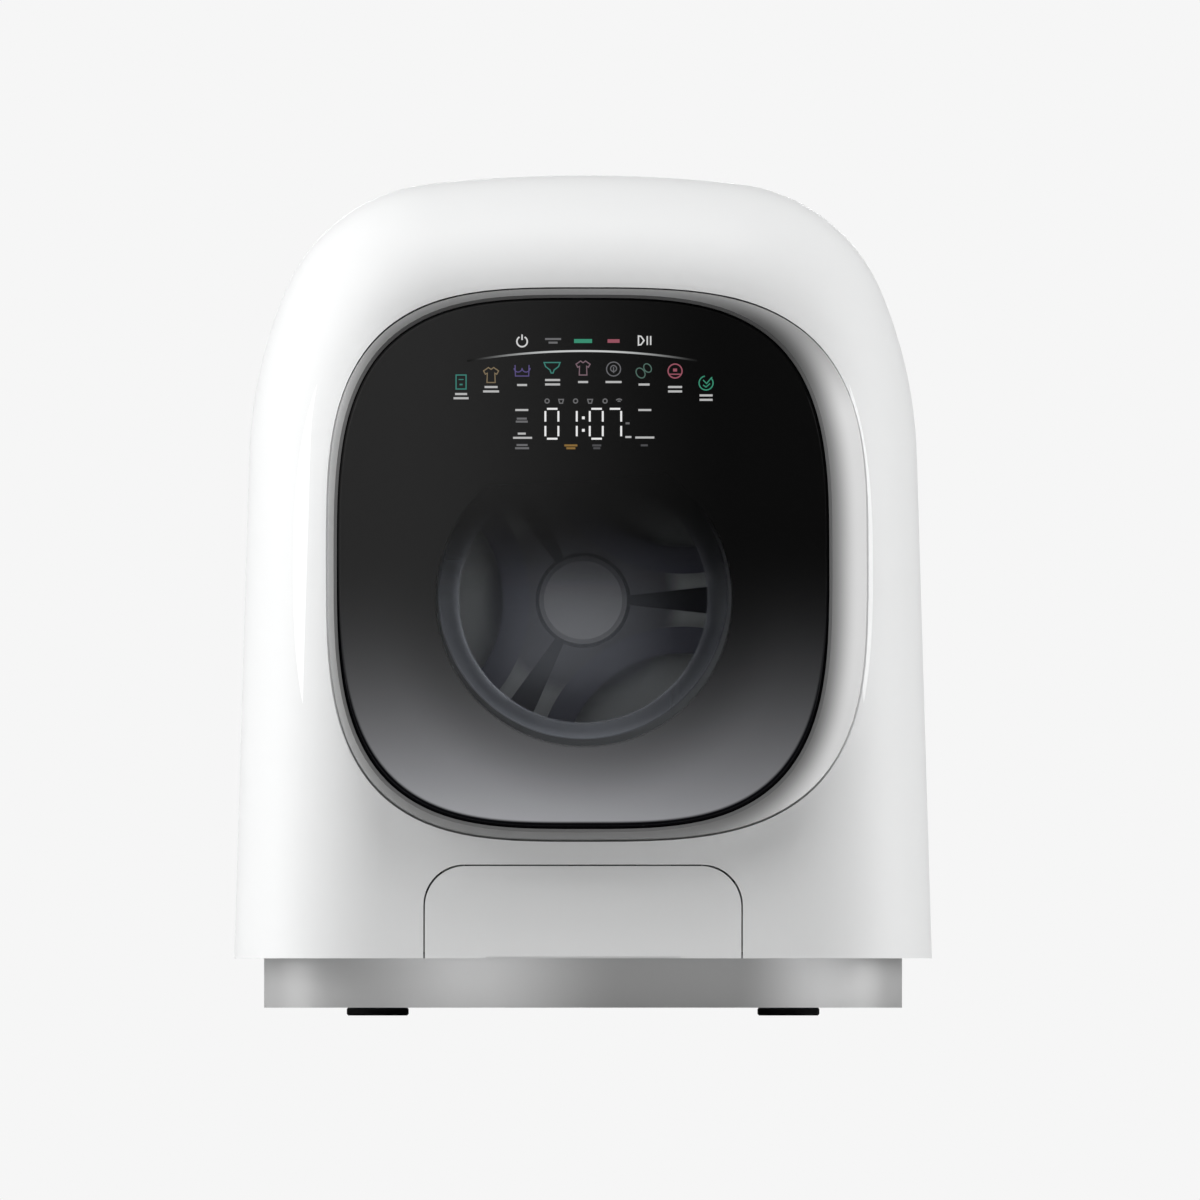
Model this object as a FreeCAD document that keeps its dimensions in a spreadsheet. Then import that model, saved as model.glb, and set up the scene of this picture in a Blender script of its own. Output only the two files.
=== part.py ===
"""Wall mounted mini washing machine: a front loader with a leaning glass door, a direct
drive drum, a detergent drawer under the door and a low plinth with four rubber feet.

Millimetres. The origin is the bottom centre of the whole machine, +Z is up, the door
faces -Y and the wall is on the +Y side.
"""
import FreeCAD, Part
import math
import os
import re
from types import SimpleNamespace

import Sketcher
from FreeCAD import Placement, Rotation, Vector

# ---------------------------------------------------------------- driving dimensions
SIZES = {
    # outside form
    "body_width": 445,
    "body_height": 499.5,
    "overall_depth": 336,
    "crown_radius": 883,       # nearly flat top
    "shoulder_radius": 112,
    "shoulder_turn": 67,       # slope where the shoulder becomes the flank
    "flank_radius": 294,
    "side_draft": 1.7,         # lean of the straight sides
    "front_round": 90,         # the front blends into the sides and the top
    "skin_wall": 3,
    # plinth and feet
    "plinth_height": 31.5,
    "plinth_inset": 19,
    "plinth_wall": 2.5,
    "plinth_back": 8,          # the plinth stands this far in front of the back
    "plinth_back_corner": 12,
    "plinth_floor": 3,
    "plinth_post_radius": 7,
    "foot_height": 5,
    "foot_radius": 19.75,
    "foot_pitch_wide": 262,
    "foot_pitch_deep": 210,
    "foot_middle": 15,         # the feet's centre lies this far behind the middle
    "foot_stud_radius": 4,
    "foot_stud_length": 12,
    # door, in its own frame: x across, n out of the door, v up along it
    "door_lean": 6,
    "door_middle": 290.5,      # height of the glass centre
    "glass_width": 314,
    "glass_height": 340.5,
    "glass_drop": 4.4,         # the glass sits this far below the middle of the door
    "glass_power": 3.25,
    "glass_thick": 4,
    "glass_edge": 2,           # bevel round the glass
    "rim_hinge": 6,            # how far the frame reaches past the glass on each side
    "rim_grip": 24,
    "rim_top": 8.15,
    "rim_foot": 4.85,
    "door_power": 3.3,
    "door_proud": 22,          # glass face in front of the body surface
    "door_shoulder": 2,        # where the frame starts to slope towards the glass
    "door_wall": 3,
    "door_gap": 1.2,
    "door_ledge": 5,           # seat under the edge of the glass
    "door_ledge_thick": 2.5,
    "pocket_depth": 26,
    "pocket_clearance": 2,
    "liner_thick": 3,
    "glass_rim": 2.2,          # frame metal left round the glass
    "glass_fit": 0.2,
    "door_boss": 4.5,
    "door_screw_inset": 13,
    "grip_side_inset": 31,     # the frame slopes more on the grip side, so its screws sit further in
    "grip_height": 76,
    "grip_width": 14,
    "grip_depth": 12,
    "grip_low": -18,
    "notch_half": 12,
    "notch_front": 1,
    # hinge of the door
    "hinge_inset": 5,          # from the door's left edge to the pin
    "hinge_sink": 3,           # pin axis behind the body surface
    "hinge_length": 70,
    "hinge_plate_left": 4,
    "hinge_plate_right": 12,
    "hinge_plate_thick": 2,
    "hinge_ear_half": 2.25,
    "hinge_screw_rise": 15,
    "hinge_foot": 12,
    "hinge_ear": 10,
    "knuckle_radius": 3.6,
    "pin_radius": 2,
    "pin_fit": 0.05,
    "hinge_leaf": 26,
    "hinge_leaf_thick": 2,
    # door lock
    "lock_x": 147.5,
    "striker_width": 10,
    "striker_thick": 2,
    "striker_reach": 19,
    "striker_hole": 3.4,
    "striker_swing": 4,        # the striker's tip swings out this far as the door opens
    "striker_slot": 3,
    "lock_bolt_radius": 2.5,
    "lock_bolt_length": 22,
    "lock_bolt_travel": 8,
    "lock_width": 28,
    "lock_height": 46,
    "lock_depth": 18,
    # display behind the glass
    "display_width": 184,
    "display_inset": 17.85,    # from the upper edge of the glass
    "display_height": 72,
    "display_board_thick": 1.6,
    "chip_half": 18,
    "chip_thick": 3,
    "chip_rise": 8,
    "chip_height": 12,
    # bowl glass and porthole
    "bowl_radius": 95,
    "bowl_back_radius": 80,
    "bowl_depth": 41,
    "bowl_wall": 3.5,
    "bowl_flange": 7,
    "bowl_flange_thick": 4,
    "porthole_radius": 113.5,
    "gasket_wall": 2.5,
    "gasket_lip_thick": 1.4,
    "gasket_lip": 6,
    "gasket_bead": 0.8,
    # drum and tub
    "drum_height": 265,
    "drum_radius": 136,
    "drum_wall": 1.2,
    "depth_beside_drum": 186,  # door, motor and services take this much of the whole depth
    "drum_mouth": 100,
    "drum_lip": 8,
    "drum_back_thick": 2,
    "tub_gap": 10,
    "tub_wall": 3,
    "tub_front_gap": 8,
    "drum_front_gap": 7,
    "tub_mouth": 104,
    "tub_collar": 4,
    "tub_rear_length": 99,     # inside depth of the rear half of the tub
    "tub_flange": 8,
    "tub_flange_thick": 4,
    "seal_groove": 2.5,
    "lug_radius": 16,
    "lug_thick": 6,
    "stator_boss": 5.5,
    "stator_screw": 2.4,
    "spider_space": 14,
    "spider_thick": 8,
    "spider_arm": 16,
    "tub_back_thick": 4,
    "tub_rib": 6,
    "tub_rib_thick": 3,
    "rotor_window_in": 34,
    "rotor_window_out": 66,
    "rotor_window_half": 7,
    "hub_radius": 34,
    "hub_length": 30,
    "vane_radius": 94,
    "vane_offset": 128,
    "vane_width": 17,
    "vane_height": 30,
    "spoke_inner": 6,
    "spoke_outer": 18,
    "spoke_rise": 4,
    "ring_radius": 84,
    "hub_cap_radius": 29,
    "hub_cap_height": 9,
    # shaft, bearings and motor
    "shaft_radius": 10,
    "bearing_radius": 23.5,
    "bearing_width": 11,
    "seal_radius": 25,
    "seal_width": 5,
    "stator_inner": 40,
    "stator_outer": 78,
    "stator_width": 14,
    "stator_yoke": 12,
    "tooth_width": 6,
    "coil_width": 11,
    "rotor_gap": 1,
    "magnet_thick": 3,
    "rotor_wall": 2.5,
    "rotor_depth": 26,
    "rotor_bolt_radius": 6.5,
    # isolators
    "lug_circle": 163,
    "isolator_radius": 14,
    "isolator_length": 18,
    "post_radius": 10,
    "isolator_bolt_radius": 4,
    "bolt_fit": 0.05,
    "bolt_hold": 14,
    # rear frame, cover and service tray
    "frame_wall": 3,
    "frame_recess": 5,
    "frame_fit": 0.4,
    "access_lip": 6,
    "boss_radius": 7,
    "boss_length": 20,
    "boss_inset": 8,
    "rim_screw_low": 75,
    "rim_screw_middle": 210,
    "rim_screw_high": 345,
    "rim_screw_top": 70,
    "cover_screw_circle": 107,
    "vent_start": 46,
    "vent_length": 42,
    "vent_width": 4,
    "wall_pitch_wide": 300,
    "wall_pitch_high": 340,
    "wall_middle": 270,
    "wall_pad_radius": 22,
    "wall_hole_radius": 5.5,
    "access_radius": 100,
    "cover_radius": 112,
    "cover_thick": 3,
    "tray_width": 150,
    "tray_bottom": 50,
    "tray_height": 60,
    "tray_depth": 30,
    "tray_wall": 2.5,
    "tray_flange": 8,
    "tray_rim": 8,
    "tray_screw_rise": 28,
    "screw_radius": 1.9,
    "screw_head_radius": 4,
    "screw_head_height": 2,
    "screw_length": 12,
    "screw_fit": 0.1,
    # drawer and detergent tank
    "drawer_half_width": 101,
    "drawer_top": 95.4,
    "drawer_corner": 26,
    "drawer_gap": 0.9,
    "pan_thick": 4,
    "guide_wall": 2,
    "tank_half_width": 88,
    "tank_top": 86,
    "depth_beside_tank": 186,  # the drawer front and the pump behind the tank
    "tank_wall": 2.5,
    "tank_clearance": 0.3,
    "filler_width": 44,
    "filler_length": 24,
    "flap_thick": 2.5,
    "flap_y": -88,
    "flap_half": 23,
    "flap_reach": 28,
    "flap_barrel": 2.2,
    "flap_pin": 1.2,
    "recess_half": 62,         # finger recess under the drawer front
    "recess_height": 1.2,
    "recess_lip": 4,
    "recess_depth": 5.2,
    "recess_rise": 11,
    "guide_height": 28,
    "guide_beyond": 12,
    "dock_radius": 4,
    "dock_length": 8,
    "dock_x": 0,
    "dock_z": 52,
    "dosing_half": 26,
    "dosing_length": 34,
    "dosing_hose_radius": 4,
    "socket_length": 13,
    # pump, valve and hoses
    "pump_x": 45,
    "pump_y": 74,
    "pump_height": 74,
    "volute_radius": 27,
    "volute_width": 22,
    "volute_wall": 3,
    "pump_motor_radius": 20,
    "pump_motor_length": 36,
    "hose_radius": 9.5,
    "hose_wall": 2.5,
    "impeller_radius": 19,
    "impeller_shaft": 2,
    "impeller_hold": 14,
    "pump_stub": 8,
    "sump_bend": 18,
    "spigot_flange": 5,
    "valve_x": -50,
    "valve_height": 74,
    "valve_size": 32,
    "valve_depth": 25,
    "valve_stub": 6,
    "coil_radius": 11,
    "coil_length": 20,
    "fill_bend": 12,
    "inlet_radius": 13.2,
    "stub_length": 24,
    "stub_collar": 1.6,
    "stub_step": 0.5,
    "spigot_radius": 10,
    "fill_hose_radius": 6,
    "fill_hose_x": -96,
    "fill_rise": 85,
    "filler_stub": 10,
    "spout_length": 13,
    "spout_wall": 3,
    "socket_wall": 2.5,
    "thin_hose_wall": 1.5,
    "seated": 8,               # how far the sump hose reaches into the spout
    "heater_plug": 25,
    "heater_plug_half": 3.5,
    "heater_radius": 2.5,
    "heater_half": 20,
    "heater_setback": 38,      # the loop turns this far behind the front of the tub
    "gland_radius": 8,
    "gland_x": 3,
    # electronics
    "board_x": 90,
    "board_width": 66,
    "board_length": 110,
    "board_box_height": 30,
    "board_box_bottom": 434,
    "board_wall": 2,
    "board_rise": 5,
    "board_thick": 1.6,
    "part_inset": 10,          # relays and capacitors on the board, in rows that grow lower
    "part_pitch_wide": 26,
    "part_pitch_long": 30,
    "part_width": 16,
    "part_length": 20,
    "part_height": 16,
    "part_step": 2.5,
    # clearances between pieces on different bodies
    "run_gap": 0.3,
}

# ------------------------------------------- places worked out from the dimensions
LAYOUT = {
    "back_plane": "overall_depth / 2",
    "body_bottom": "foot_height + plinth_height",
    "body_top": "foot_height + plinth_height + body_height",
    "door_face": "door_proud * cos(door_lean) - overall_depth / 2"
                 " + (glass_height / 2 + glass_drop) * sin(door_lean)",
    "door_back": "-(pocket_depth - pocket_clearance)",
    "door_left": "glass_width / 2 + rim_hinge",
    "door_right": "glass_width / 2 + rim_grip",
    "door_up": "glass_height / 2 - glass_drop + rim_top",
    "door_down": "glass_height / 2 + glass_drop + rim_foot",
    "display_high": "glass_height / 2 - glass_drop - display_inset",
    "display_low": "display_high - display_height",
    "hinge_x": "-(door_left - hinge_inset)",
    "bolt_n": "door_back - striker_reach * 0.7",
    "bowl_end": "-door_back + bowl_depth - liner_thick",
    "bowl_drop": "(door_middle - drum_height) / cos(door_lean)"
                 " - (pocket_depth + bowl_depth / 2) * tan(door_lean)",
    "drum_depth": "overall_depth - depth_beside_drum",
    "tub_inner": "drum_radius + tub_gap",
    "tub_radius": "tub_inner + tub_wall",
    "tub_front": "door_face + (pocket_depth + skin_wall) / cos(door_lean)"
                 " + (drum_height + tub_radius - door_middle) * tan(door_lean) + tub_front_gap",
    "drum_front": "tub_front + tub_wall + drum_front_gap",
    "drum_rear": "drum_front + drum_depth",
    "tub_rear_in": "drum_rear + spider_space",
    "split_plane": "tub_rear_in - tub_rear_length",
    "tub_rear_out": "tub_rear_in + tub_back_thick",
    "hub_end": "tub_rear_out + hub_length",
    "stator_front": "tub_rear_out + tub_rib + 4",
    "rotor_inner": "stator_outer + rotor_gap",
    "rotor_outer": "rotor_inner + magnet_thick + rotor_wall",
    "rotor_back": "hub_end + 5",
    "frame_back": "back_plane - frame_recess",
    "frame_front": "frame_back - frame_wall",
    "tray_floor": "frame_back - tray_depth",
    "pan_top": "body_bottom + pan_thick",
    "tank_front": "door_face + skin_wall + 2 - (door_middle - drawer_top) * tan(door_lean)",
    "tank_bottom": "pan_top + guide_wall + tank_clearance",
    "tank_length": "overall_depth - depth_beside_tank",
    "tank_rear": "tank_front + tank_length",
    "dosing_y": "tank_rear + run_gap + dosing_length - 10",
    "flap_z": "tank_top + run_gap + flap_barrel",
    "valve_y": "tray_floor - fill_hose_radius - 2",
    "outlet_height": "pump_height + volute_radius - hose_radius",
    "spout_end": "drum_height - tub_inner - spout_length",
    "dosing_socket": "drum_height - tub_inner - socket_length",
    "fill_height": "drum_height + fill_rise",
    "heater_front": "tub_front + heater_setback",
    "heater_height": "drum_height - (drum_radius + tub_inner) / 2 + 0.5",
}


def with_sheet_names(text):
    """Puts the sheet's name before each alias of an expression."""
    def one(match):
        word = match.group(0)
        if word in SIZES:
            return "Sizes." + word
        if word in LAYOUT:
            return "Layout." + word
        return word
    return re.sub(r"[a-z_]+[a-z]", one, text)


doc = FreeCAD.newDocument("MiniWasher")
size_sheet = doc.addObject("Spreadsheet::Sheet", "Sizes")
layout_sheet = doc.addObject("Spreadsheet::Sheet", "Layout")
for row, (alias, number) in enumerate(SIZES.items(), start=1):
    size_sheet.set(f"A{row}", str(number))
    size_sheet.setAlias(f"A{row}", alias)
for row, (alias, formula) in enumerate(LAYOUT.items(), start=1):
    layout_sheet.set(f"A{row}", "=" + with_sheet_names(formula).replace("Layout.", ""))
    layout_sheet.setAlias(f"A{row}", alias)
doc.recompute()

# the same values for the shapes that are worked out in Python
v = SimpleNamespace(**{alias: float(getattr(size_sheet, alias)) for alias in SIZES},
                    **{alias: float(getattr(layout_sheet, alias)) for alias in LAYOUT})
lean = math.radians(v.door_lean)
nodes = []


# ------------------------------------------------------------------ building helpers
def bind(item, **expressions):
    for name, text in expressions.items():
        item.setExpression(name, with_sheet_names(str(text)))


TURNS = {"z": Rotation(), "y": Rotation(Vector(1, 0, 0), -90), "x": Rotation(Vector(0, 1, 0), 90)}


def place(item, x=0, y=0, z=0, axis="z"):
    """Moves an item to a place given by expressions, its own Z turned to an axis."""
    item.Placement = Placement(Vector(), TURNS[axis])
    for key, text in zip("xyz", (x, y, z)):
        item.setExpression(f"Placement.Base.{key}", with_sheet_names(str(text)))
    return item


def group(name, parts):
    item = doc.addObject("Part::Compound", name)
    item.Links = list(parts)
    return item


def keep(item):
    """Marks a finished piece as a node of its own."""
    nodes.append(item)
    return item


def solid_feature(name, shape, placement=None):
    """A piece whose form no stock feature gives, from Part's own functions."""
    item = doc.addObject("Part::Feature", name)
    item.Shape = shape
    if placement is not None:
        item.Placement = placement
    return keep(item)


def outline_sketch(body, name, role, corners):
    """Closed outline in one of the body's planes; each corner is a pair of expressions."""
    sketch = body.newObject("Sketcher::SketchObject", name)
    plane = [item for item in body.Origin.OriginFeatures if item.Role == role][0]
    sketch.AttachmentSupport = [(plane, "")]
    sketch.MapMode = "FlatFace"
    texts = [[with_sheet_names(str(text)) for text in corner] for corner in corners]
    spots = [[float(layout_sheet.evalExpression(text)) for text in corner] for corner in texts]
    count = len(corners)
    for index, (here, there) in enumerate(zip(spots, spots[1:] + spots[:1])):
        sketch.addGeometry(Part.LineSegment(Vector(*here, 0), Vector(*there, 0)), False)
    for index in range(count):
        sketch.addConstraint(Sketcher.Constraint("Coincident", index, 2, (index + 1) % count, 1))
    for index in range(count):
        for kind, text, number in zip(("DistanceX", "DistanceY"), texts[index], spots[index]):
            made = sketch.addConstraint(Sketcher.Constraint(kind, -1, 1, index, 1, number))
            sketch.setExpression(f"Constraints[{made}]", text)
    return sketch


def turned(name, corners, axis="y", x=0, y=0, z=0):
    """Body turned about Y or Z; each corner is (radius, place along the axis)."""
    body = doc.addObject("PartDesign::Body", name)
    role = "XY_Plane" if axis == "y" else "XZ_Plane"
    sketch = outline_sketch(body, name + "Profile", role, corners)
    spin = body.newObject("PartDesign::Revolution", name + "Turn")
    spin.Profile = sketch
    spin.ReferenceAxis = (sketch, ["V_Axis"])
    spin.Angle = 360
    return place(body, x, y, z)


def spokes(body, name, corners, thick, count, axis="y"):
    """Adds flat ribs round a turned body; each corner is (radius, place along the axis)."""
    role = "XY_Plane" if axis == "y" else "XZ_Plane"
    sketch = outline_sketch(body, name + "Profile", role, corners)
    rib = body.newObject("PartDesign::Pad", name)
    rib.Profile = sketch
    bind(rib, Length=thick)
    rib.Midplane = True
    ring = body.newObject("PartDesign::PolarPattern", name + "Ring")
    ring.Originals = [rib]
    ring.Axis = (sketch, ["V_Axis"])
    ring.Angle = 360
    ring.Occurrences = count
    body.Tip = ring
    return body


def lean_with_door(item):
    """Sets a turned piece onto the axis of the bowl, which leans with the door."""
    item.Placement = Placement(Vector(), Rotation(Vector(-1, 0, 0), v.door_lean))
    bind(item, **{"Placement.Base.y": "door_face - bowl_drop * sin(door_lean)",
                  "Placement.Base.z": "door_middle - bowl_drop * cos(door_lean)",
                  "Placement.Rotation.Angle": "door_lean"})
    return item


door_placement = Placement(Vector(0, v.door_face, v.door_middle), Rotation(Vector(1, 0, 0), -v.door_lean))


# ------------------------------------------------------------- curves of the mouldings
CURVE_STEPS = 32
CROWN_ROUNDS = 40
VENTS = 24
TEETH = 12
BOARD_ROWS = 3
BOARD_COLUMNS = 2
TAIL = 5                       # hollow forms run this far past the open back and bottom


def rounded_power(angle, power):
    """Point of a superellipse of half size 1 in one direction."""
    across, up = math.cos(angle), math.sin(angle)
    reach = (abs(across) ** power + abs(up) ** power) ** (1 / power)
    return across / reach, up / reach


def door_curve(left, right, up, down, power, out):
    """Closed soft rectangle in the door's frame, at a distance out of the door plane."""
    points = []
    for step in range(CURVE_STEPS):
        across, rise = rounded_power(2 * math.pi * step / CURVE_STEPS, power)
        points.append(Vector(across * (right if across > 0 else left), -out,
                             rise * (up if rise > 0 else down)))
    curve = Part.BSplineCurve()
    curve.interpolate(points, PeriodicFlag=True)
    return Part.Wire([curve.toShape()])


def door_outline(grow, out):
    """Edge of the door, grown by a clearance or drawn in by a wall."""
    return door_curve(v.door_left + grow, v.door_right + grow, v.door_up + grow, v.door_down + grow,
                      v.door_power, out)


def glass_outline(grow, out):
    half_width, half_height = v.glass_width / 2 + grow, v.glass_height / 2 + grow
    outline = door_curve(half_width, half_width, half_height, half_height, v.glass_power, out)
    outline.translate(Vector(0, 0, -v.glass_drop))
    return outline


def prism(wire, length):
    """Straight solid from a closed curve in the door's frame towards its front."""
    return Part.Face(wire).extrude(Vector(0, -length, 0))


def blend(first, second):
    return Part.makeLoft([first, second], True, True)


def on_door(shape):
    shape.Placement = door_placement.multiply(shape.Placement)
    return shape


def crown_angle():
    """Slope at which the crown's arc meets the shoulder's, so that the foot has the body's width."""
    turn, upright = math.radians(v.shoulder_turn), math.radians(90 - v.side_draft)
    angle = 0.0
    for _ in range(CROWN_ROUNDS):
        drop = (v.crown_radius * (1 - math.cos(angle))
                + v.shoulder_radius * (math.cos(angle) - math.cos(turn))
                + v.flank_radius * (math.cos(turn) - math.cos(upright)))
        run = (v.body_height - drop) / math.tan(upright)
        rest = (run + v.shoulder_radius * math.sin(turn)
                + v.flank_radius * (math.sin(upright) - math.sin(turn)))
        angle = math.asin((v.body_width / 2 - rest) / (v.crown_radius - v.shoulder_radius))
    return angle


def mirrored(point):
    return Vector(-point.x, point.y, point.z)


def body_outline(inset, low):
    """Front view of the body: three tangent arcs each side, then a straight leaning side."""
    crown, turn, upright = crown_angle(), math.radians(v.shoulder_turn), math.radians(90 - v.side_draft)
    centre = Vector(0, 0, v.body_top - v.crown_radius)
    arcs = []
    for inner, outer, start, end in ((v.shoulder_radius, v.crown_radius, crown, turn),
                                     (v.flank_radius, v.shoulder_radius, turn, upright)):
        centre = centre + Vector(math.sin(start), 0, math.cos(start)) * (outer - inner)
        spots = [centre + Vector(math.sin(a), 0, math.cos(a)) * (inner - inset)
                 for a in (start, (start + end) / 2, end)]
        arcs.append(spots)
    last = arcs[-1][2]
    foot = Vector(last.x + (last.z - low) / math.tan(upright), 0, low)
    edges = [Part.Arc(mirrored(arcs[0][0]), Vector(0, 0, v.body_top - inset), arcs[0][0])]
    edges += [Part.Arc(*spots) for spots in arcs]
    edges += [Part.LineSegment(last, foot), Part.LineSegment(foot, mirrored(foot)),
              Part.LineSegment(mirrored(foot), mirrored(last))]
    edges += [Part.Arc(*[mirrored(spot) for spot in reversed(spots)]) for spots in reversed(arcs)]
    return Part.Wire([edge.toShape() for edge in edges])


def side_x(height):
    """Half width of the body on its straight sides."""
    return v.body_width / 2 - (height - v.body_bottom) * math.tan(math.radians(v.side_draft))


def front_y(height, inset=0):
    """Flat of the leaning front at one height."""
    return v.door_face + inset / math.cos(lean) + (height - v.door_middle) * math.tan(lean)


def body_form(inset=0):
    """The whole rounded body, or the space a given distance inside its skin."""
    tail = TAIL if inset else 0
    outline = body_outline(inset, v.body_bottom - tail)
    outline.translate(Vector(0, v.back_plane + tail, 0))
    form = Part.Face(outline).extrude(Vector(0, -2 * v.overall_depth, 0))
    side = 4 * v.body_width
    behind = Part.makeBox(side, side, side, Vector(-side / 2, inset, -side / 2))
    form = form.common(on_door(behind))
    front = min(form.Faces, key=lambda face: face.CenterOfMass.y)
    rim = [edge for edge in front.Edges if edge.CenterOfMass.z > v.body_bottom + 1]
    return form.makeFillet(v.front_round - inset, rim)


def slab_y(low, high):
    """Endless slab between two planes across the depth."""
    side = 4 * v.body_width
    return Part.makeBox(side, high - low, side, Vector(-side / 2, low, -side / 2))


def slab_z(low, high):
    side = 4 * v.body_width
    return Part.makeBox(side, side, high - low, Vector(-side / 2, -side / 2, low))


def rod_y(radius, low, high, x, z):
    return Part.makeCylinder(radius, high - low, Vector(x, low, z), Vector(0, 1, 0))


def door_block(x_range, n_range, v_range):
    """Block in the door's own frame."""
    return Part.makeBox(x_range[1] - x_range[0], n_range[1] - n_range[0], v_range[1] - v_range[0],
                        Vector(x_range[0], -n_range[1], v_range[0]))


outer_form = body_form()
inner_form = body_form(v.skin_wall)
fitted_form = body_form(v.skin_wall + v.frame_fit)


# ---------------------------------------------------------------- cabinet and plinth
def porthole():
    """Round hole of the door pocket, square to the leaning front."""
    hole = Part.makeCylinder(v.porthole_radius, 4 * v.skin_wall,
                             Vector(0, v.pocket_depth - v.skin_wall, -v.bowl_drop), Vector(0, 1, 0))
    return on_door(hole)


def drawer_prism(grow, low, high, bottom):
    """Drawer opening, round in its upper corners, as a straight block through the front."""
    half, top, bend = v.drawer_half_width + grow, v.drawer_top + grow, v.drawer_corner
    middle = bend * (1 - math.sqrt(0.5))
    right = [Vector(half, 0, top - bend), Vector(half - middle, 0, top - middle),
             Vector(half - bend, 0, top)]
    left = [mirrored(spot) for spot in reversed(right)]
    foot = Vector(half, 0, bottom)
    edges = [Part.LineSegment(foot, right[0]), Part.Arc(*right), Part.LineSegment(right[2], left[0]),
             Part.Arc(*left), Part.LineSegment(left[2], mirrored(foot)),
             Part.LineSegment(mirrored(foot), foot)]
    face = Part.Face(Part.Wire([edge.toShape() for edge in edges]))
    face.translate(Vector(0, low, 0))
    return face.extrude(Vector(0, high - low, 0))


def rim_spots():
    """Screws that hold the rear frame to the shell: three up each side and two at the top."""
    spots = [(side * (side_x(height) - v.boss_inset), height)
             for height in (v.rim_screw_low, v.rim_screw_middle, v.rim_screw_high) for side in (-1, 1)]
    fall = v.crown_radius - math.sqrt(v.crown_radius ** 2 - v.rim_screw_top ** 2)
    return spots + [(side * v.rim_screw_top, v.body_top - fall - v.boss_inset) for side in (-1, 1)]


def make_front_shell():
    shell = outer_form.cut(inner_form)
    ring = prism(door_outline(v.door_gap + v.skin_wall, -(v.pocket_depth + v.skin_wall)),
                 3 * v.pocket_depth)
    shell = shell.fuse(on_door(ring).common(outer_form))
    bosses = [rod_y(v.boss_radius, v.frame_front - v.boss_length, v.frame_front, x, z)
              for x, z in rim_spots()]
    shell = shell.fuse([boss.common(outer_form) for boss in bosses])
    well = prism(door_outline(v.door_gap, -v.pocket_depth), 4 * v.pocket_depth)
    slot = door_block((v.lock_x - v.striker_width, v.lock_x + v.striker_width + v.striker_swing),
                      (-2 * v.pocket_depth, 0), (-v.striker_slot, v.striker_slot))
    screws = [rod_y(v.screw_radius + v.screw_fit, v.frame_front - v.screw_length, v.frame_back, x, z)
              for x, z in rim_spots()]
    shell = shell.cut([on_door(well), porthole(), on_door(slot)] + screws)
    shell = shell.cut(drawer_prism(v.drawer_gap, -v.overall_depth, v.tank_front, v.body_bottom - TAIL))
    return solid_feature("front_shell", shell)


def plan_block(inset, low, high):
    """Footprint of the plinth: large round front corners, small ones at the back."""
    half = v.body_width / 2 - inset
    front = front_y(v.body_bottom) + inset
    back = v.back_plane - v.plinth_back - (inset - v.plinth_inset)
    block = Part.makeBox(2 * half, back - front, high - low, Vector(-half, front, low))
    upright = [edge for edge in block.Edges if edge.Length > 0
               and abs(edge.tangentAt(edge.FirstParameter).z) > 0.5]
    front_edges = [edge for edge in upright if edge.CenterOfMass.y < 0]
    back_edges = [edge for edge in upright if edge.CenterOfMass.y > 0]
    block = block.makeFillet(v.front_round - inset, front_edges)
    back_edges = [edge for edge in block.Edges if edge.CenterOfMass.y > back - 1
                  and len(edge.Vertexes) == 2 and abs(edge.Vertexes[0].Z - edge.Vertexes[1].Z) > 1]
    return block.makeFillet(v.plinth_back_corner - (inset - v.plinth_inset), back_edges)


def foot_spots():
    return [(side * v.foot_pitch_wide / 2, v.foot_middle + end * v.foot_pitch_deep / 2)
            for side in (-1, 1) for end in (-1, 1)]


def make_plinth():
    band = plan_block(v.plinth_inset, v.foot_height, v.body_bottom)
    solid_feature("plinth_band", band.cut(plan_block(v.plinth_inset + v.plinth_wall,
                                                     v.foot_height - TAIL, v.body_bottom + TAIL)))
    plate = plan_block(v.plinth_inset + v.plinth_wall + v.frame_fit, v.foot_height,
                       v.foot_height + v.plinth_floor)
    for x, y in foot_spots():
        plate = plate.fuse(Part.makeCylinder(v.plinth_post_radius, v.body_bottom - v.foot_height,
                                             Vector(x, y, v.foot_height)))
        plate = plate.cut(Part.makeCylinder(v.foot_stud_radius + v.bolt_fit, v.foot_stud_length,
                                            Vector(x, y, v.foot_height)))
    solid_feature("plinth_plate", plate)
    feet = []
    for side in (-1, 1):
        for end in (-1, 1):
            feet.append(turned(f"foot{len(feet) + 1}", [
                ("0", "0"), ("foot_radius - 1", "0"), ("foot_radius", "1"),
                ("foot_radius", "foot_height - 0.8"), ("foot_radius - 0.8", "foot_height"),
                ("foot_stud_radius", "foot_height"),
                ("foot_stud_radius", "foot_height + foot_stud_length"),
                ("0", "foot_height + foot_stud_length")], "z", f"{side} * foot_pitch_wide / 2",
                               f"foot_middle + {end} * foot_pitch_deep / 2"))
    keep(group("rubber_feet", feet))


def make_base_pan():
    pan = fitted_form.common(slab_z(v.body_bottom, v.pan_top)).common(slab_y(-v.overall_depth,
                                                                             v.frame_back))
    front = drawer_prism(v.drawer_gap + v.run_gap, -v.overall_depth, v.tank_front + v.run_gap, 0)
    solid_feature("base_pan", pan.cut(front))


def wall_spots():
    return [(side * v.wall_pitch_wide / 2, v.wall_middle + end * v.wall_pitch_high / 2)
            for side in (-1, 1) for end in (-1, 1)]


def lug_spots():
    reach = v.lug_circle * math.sqrt(0.5)
    return [(side * reach, v.drum_height + end * reach) for side in (-1, 1) for end in (-1, 1)]


def cover_spots():
    turns = [math.radians(60 * step + 30) for step in range(6)]
    return [(v.cover_screw_circle * math.cos(turn), v.drum_height + v.cover_screw_circle * math.sin(turn))
            for turn in turns]


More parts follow.
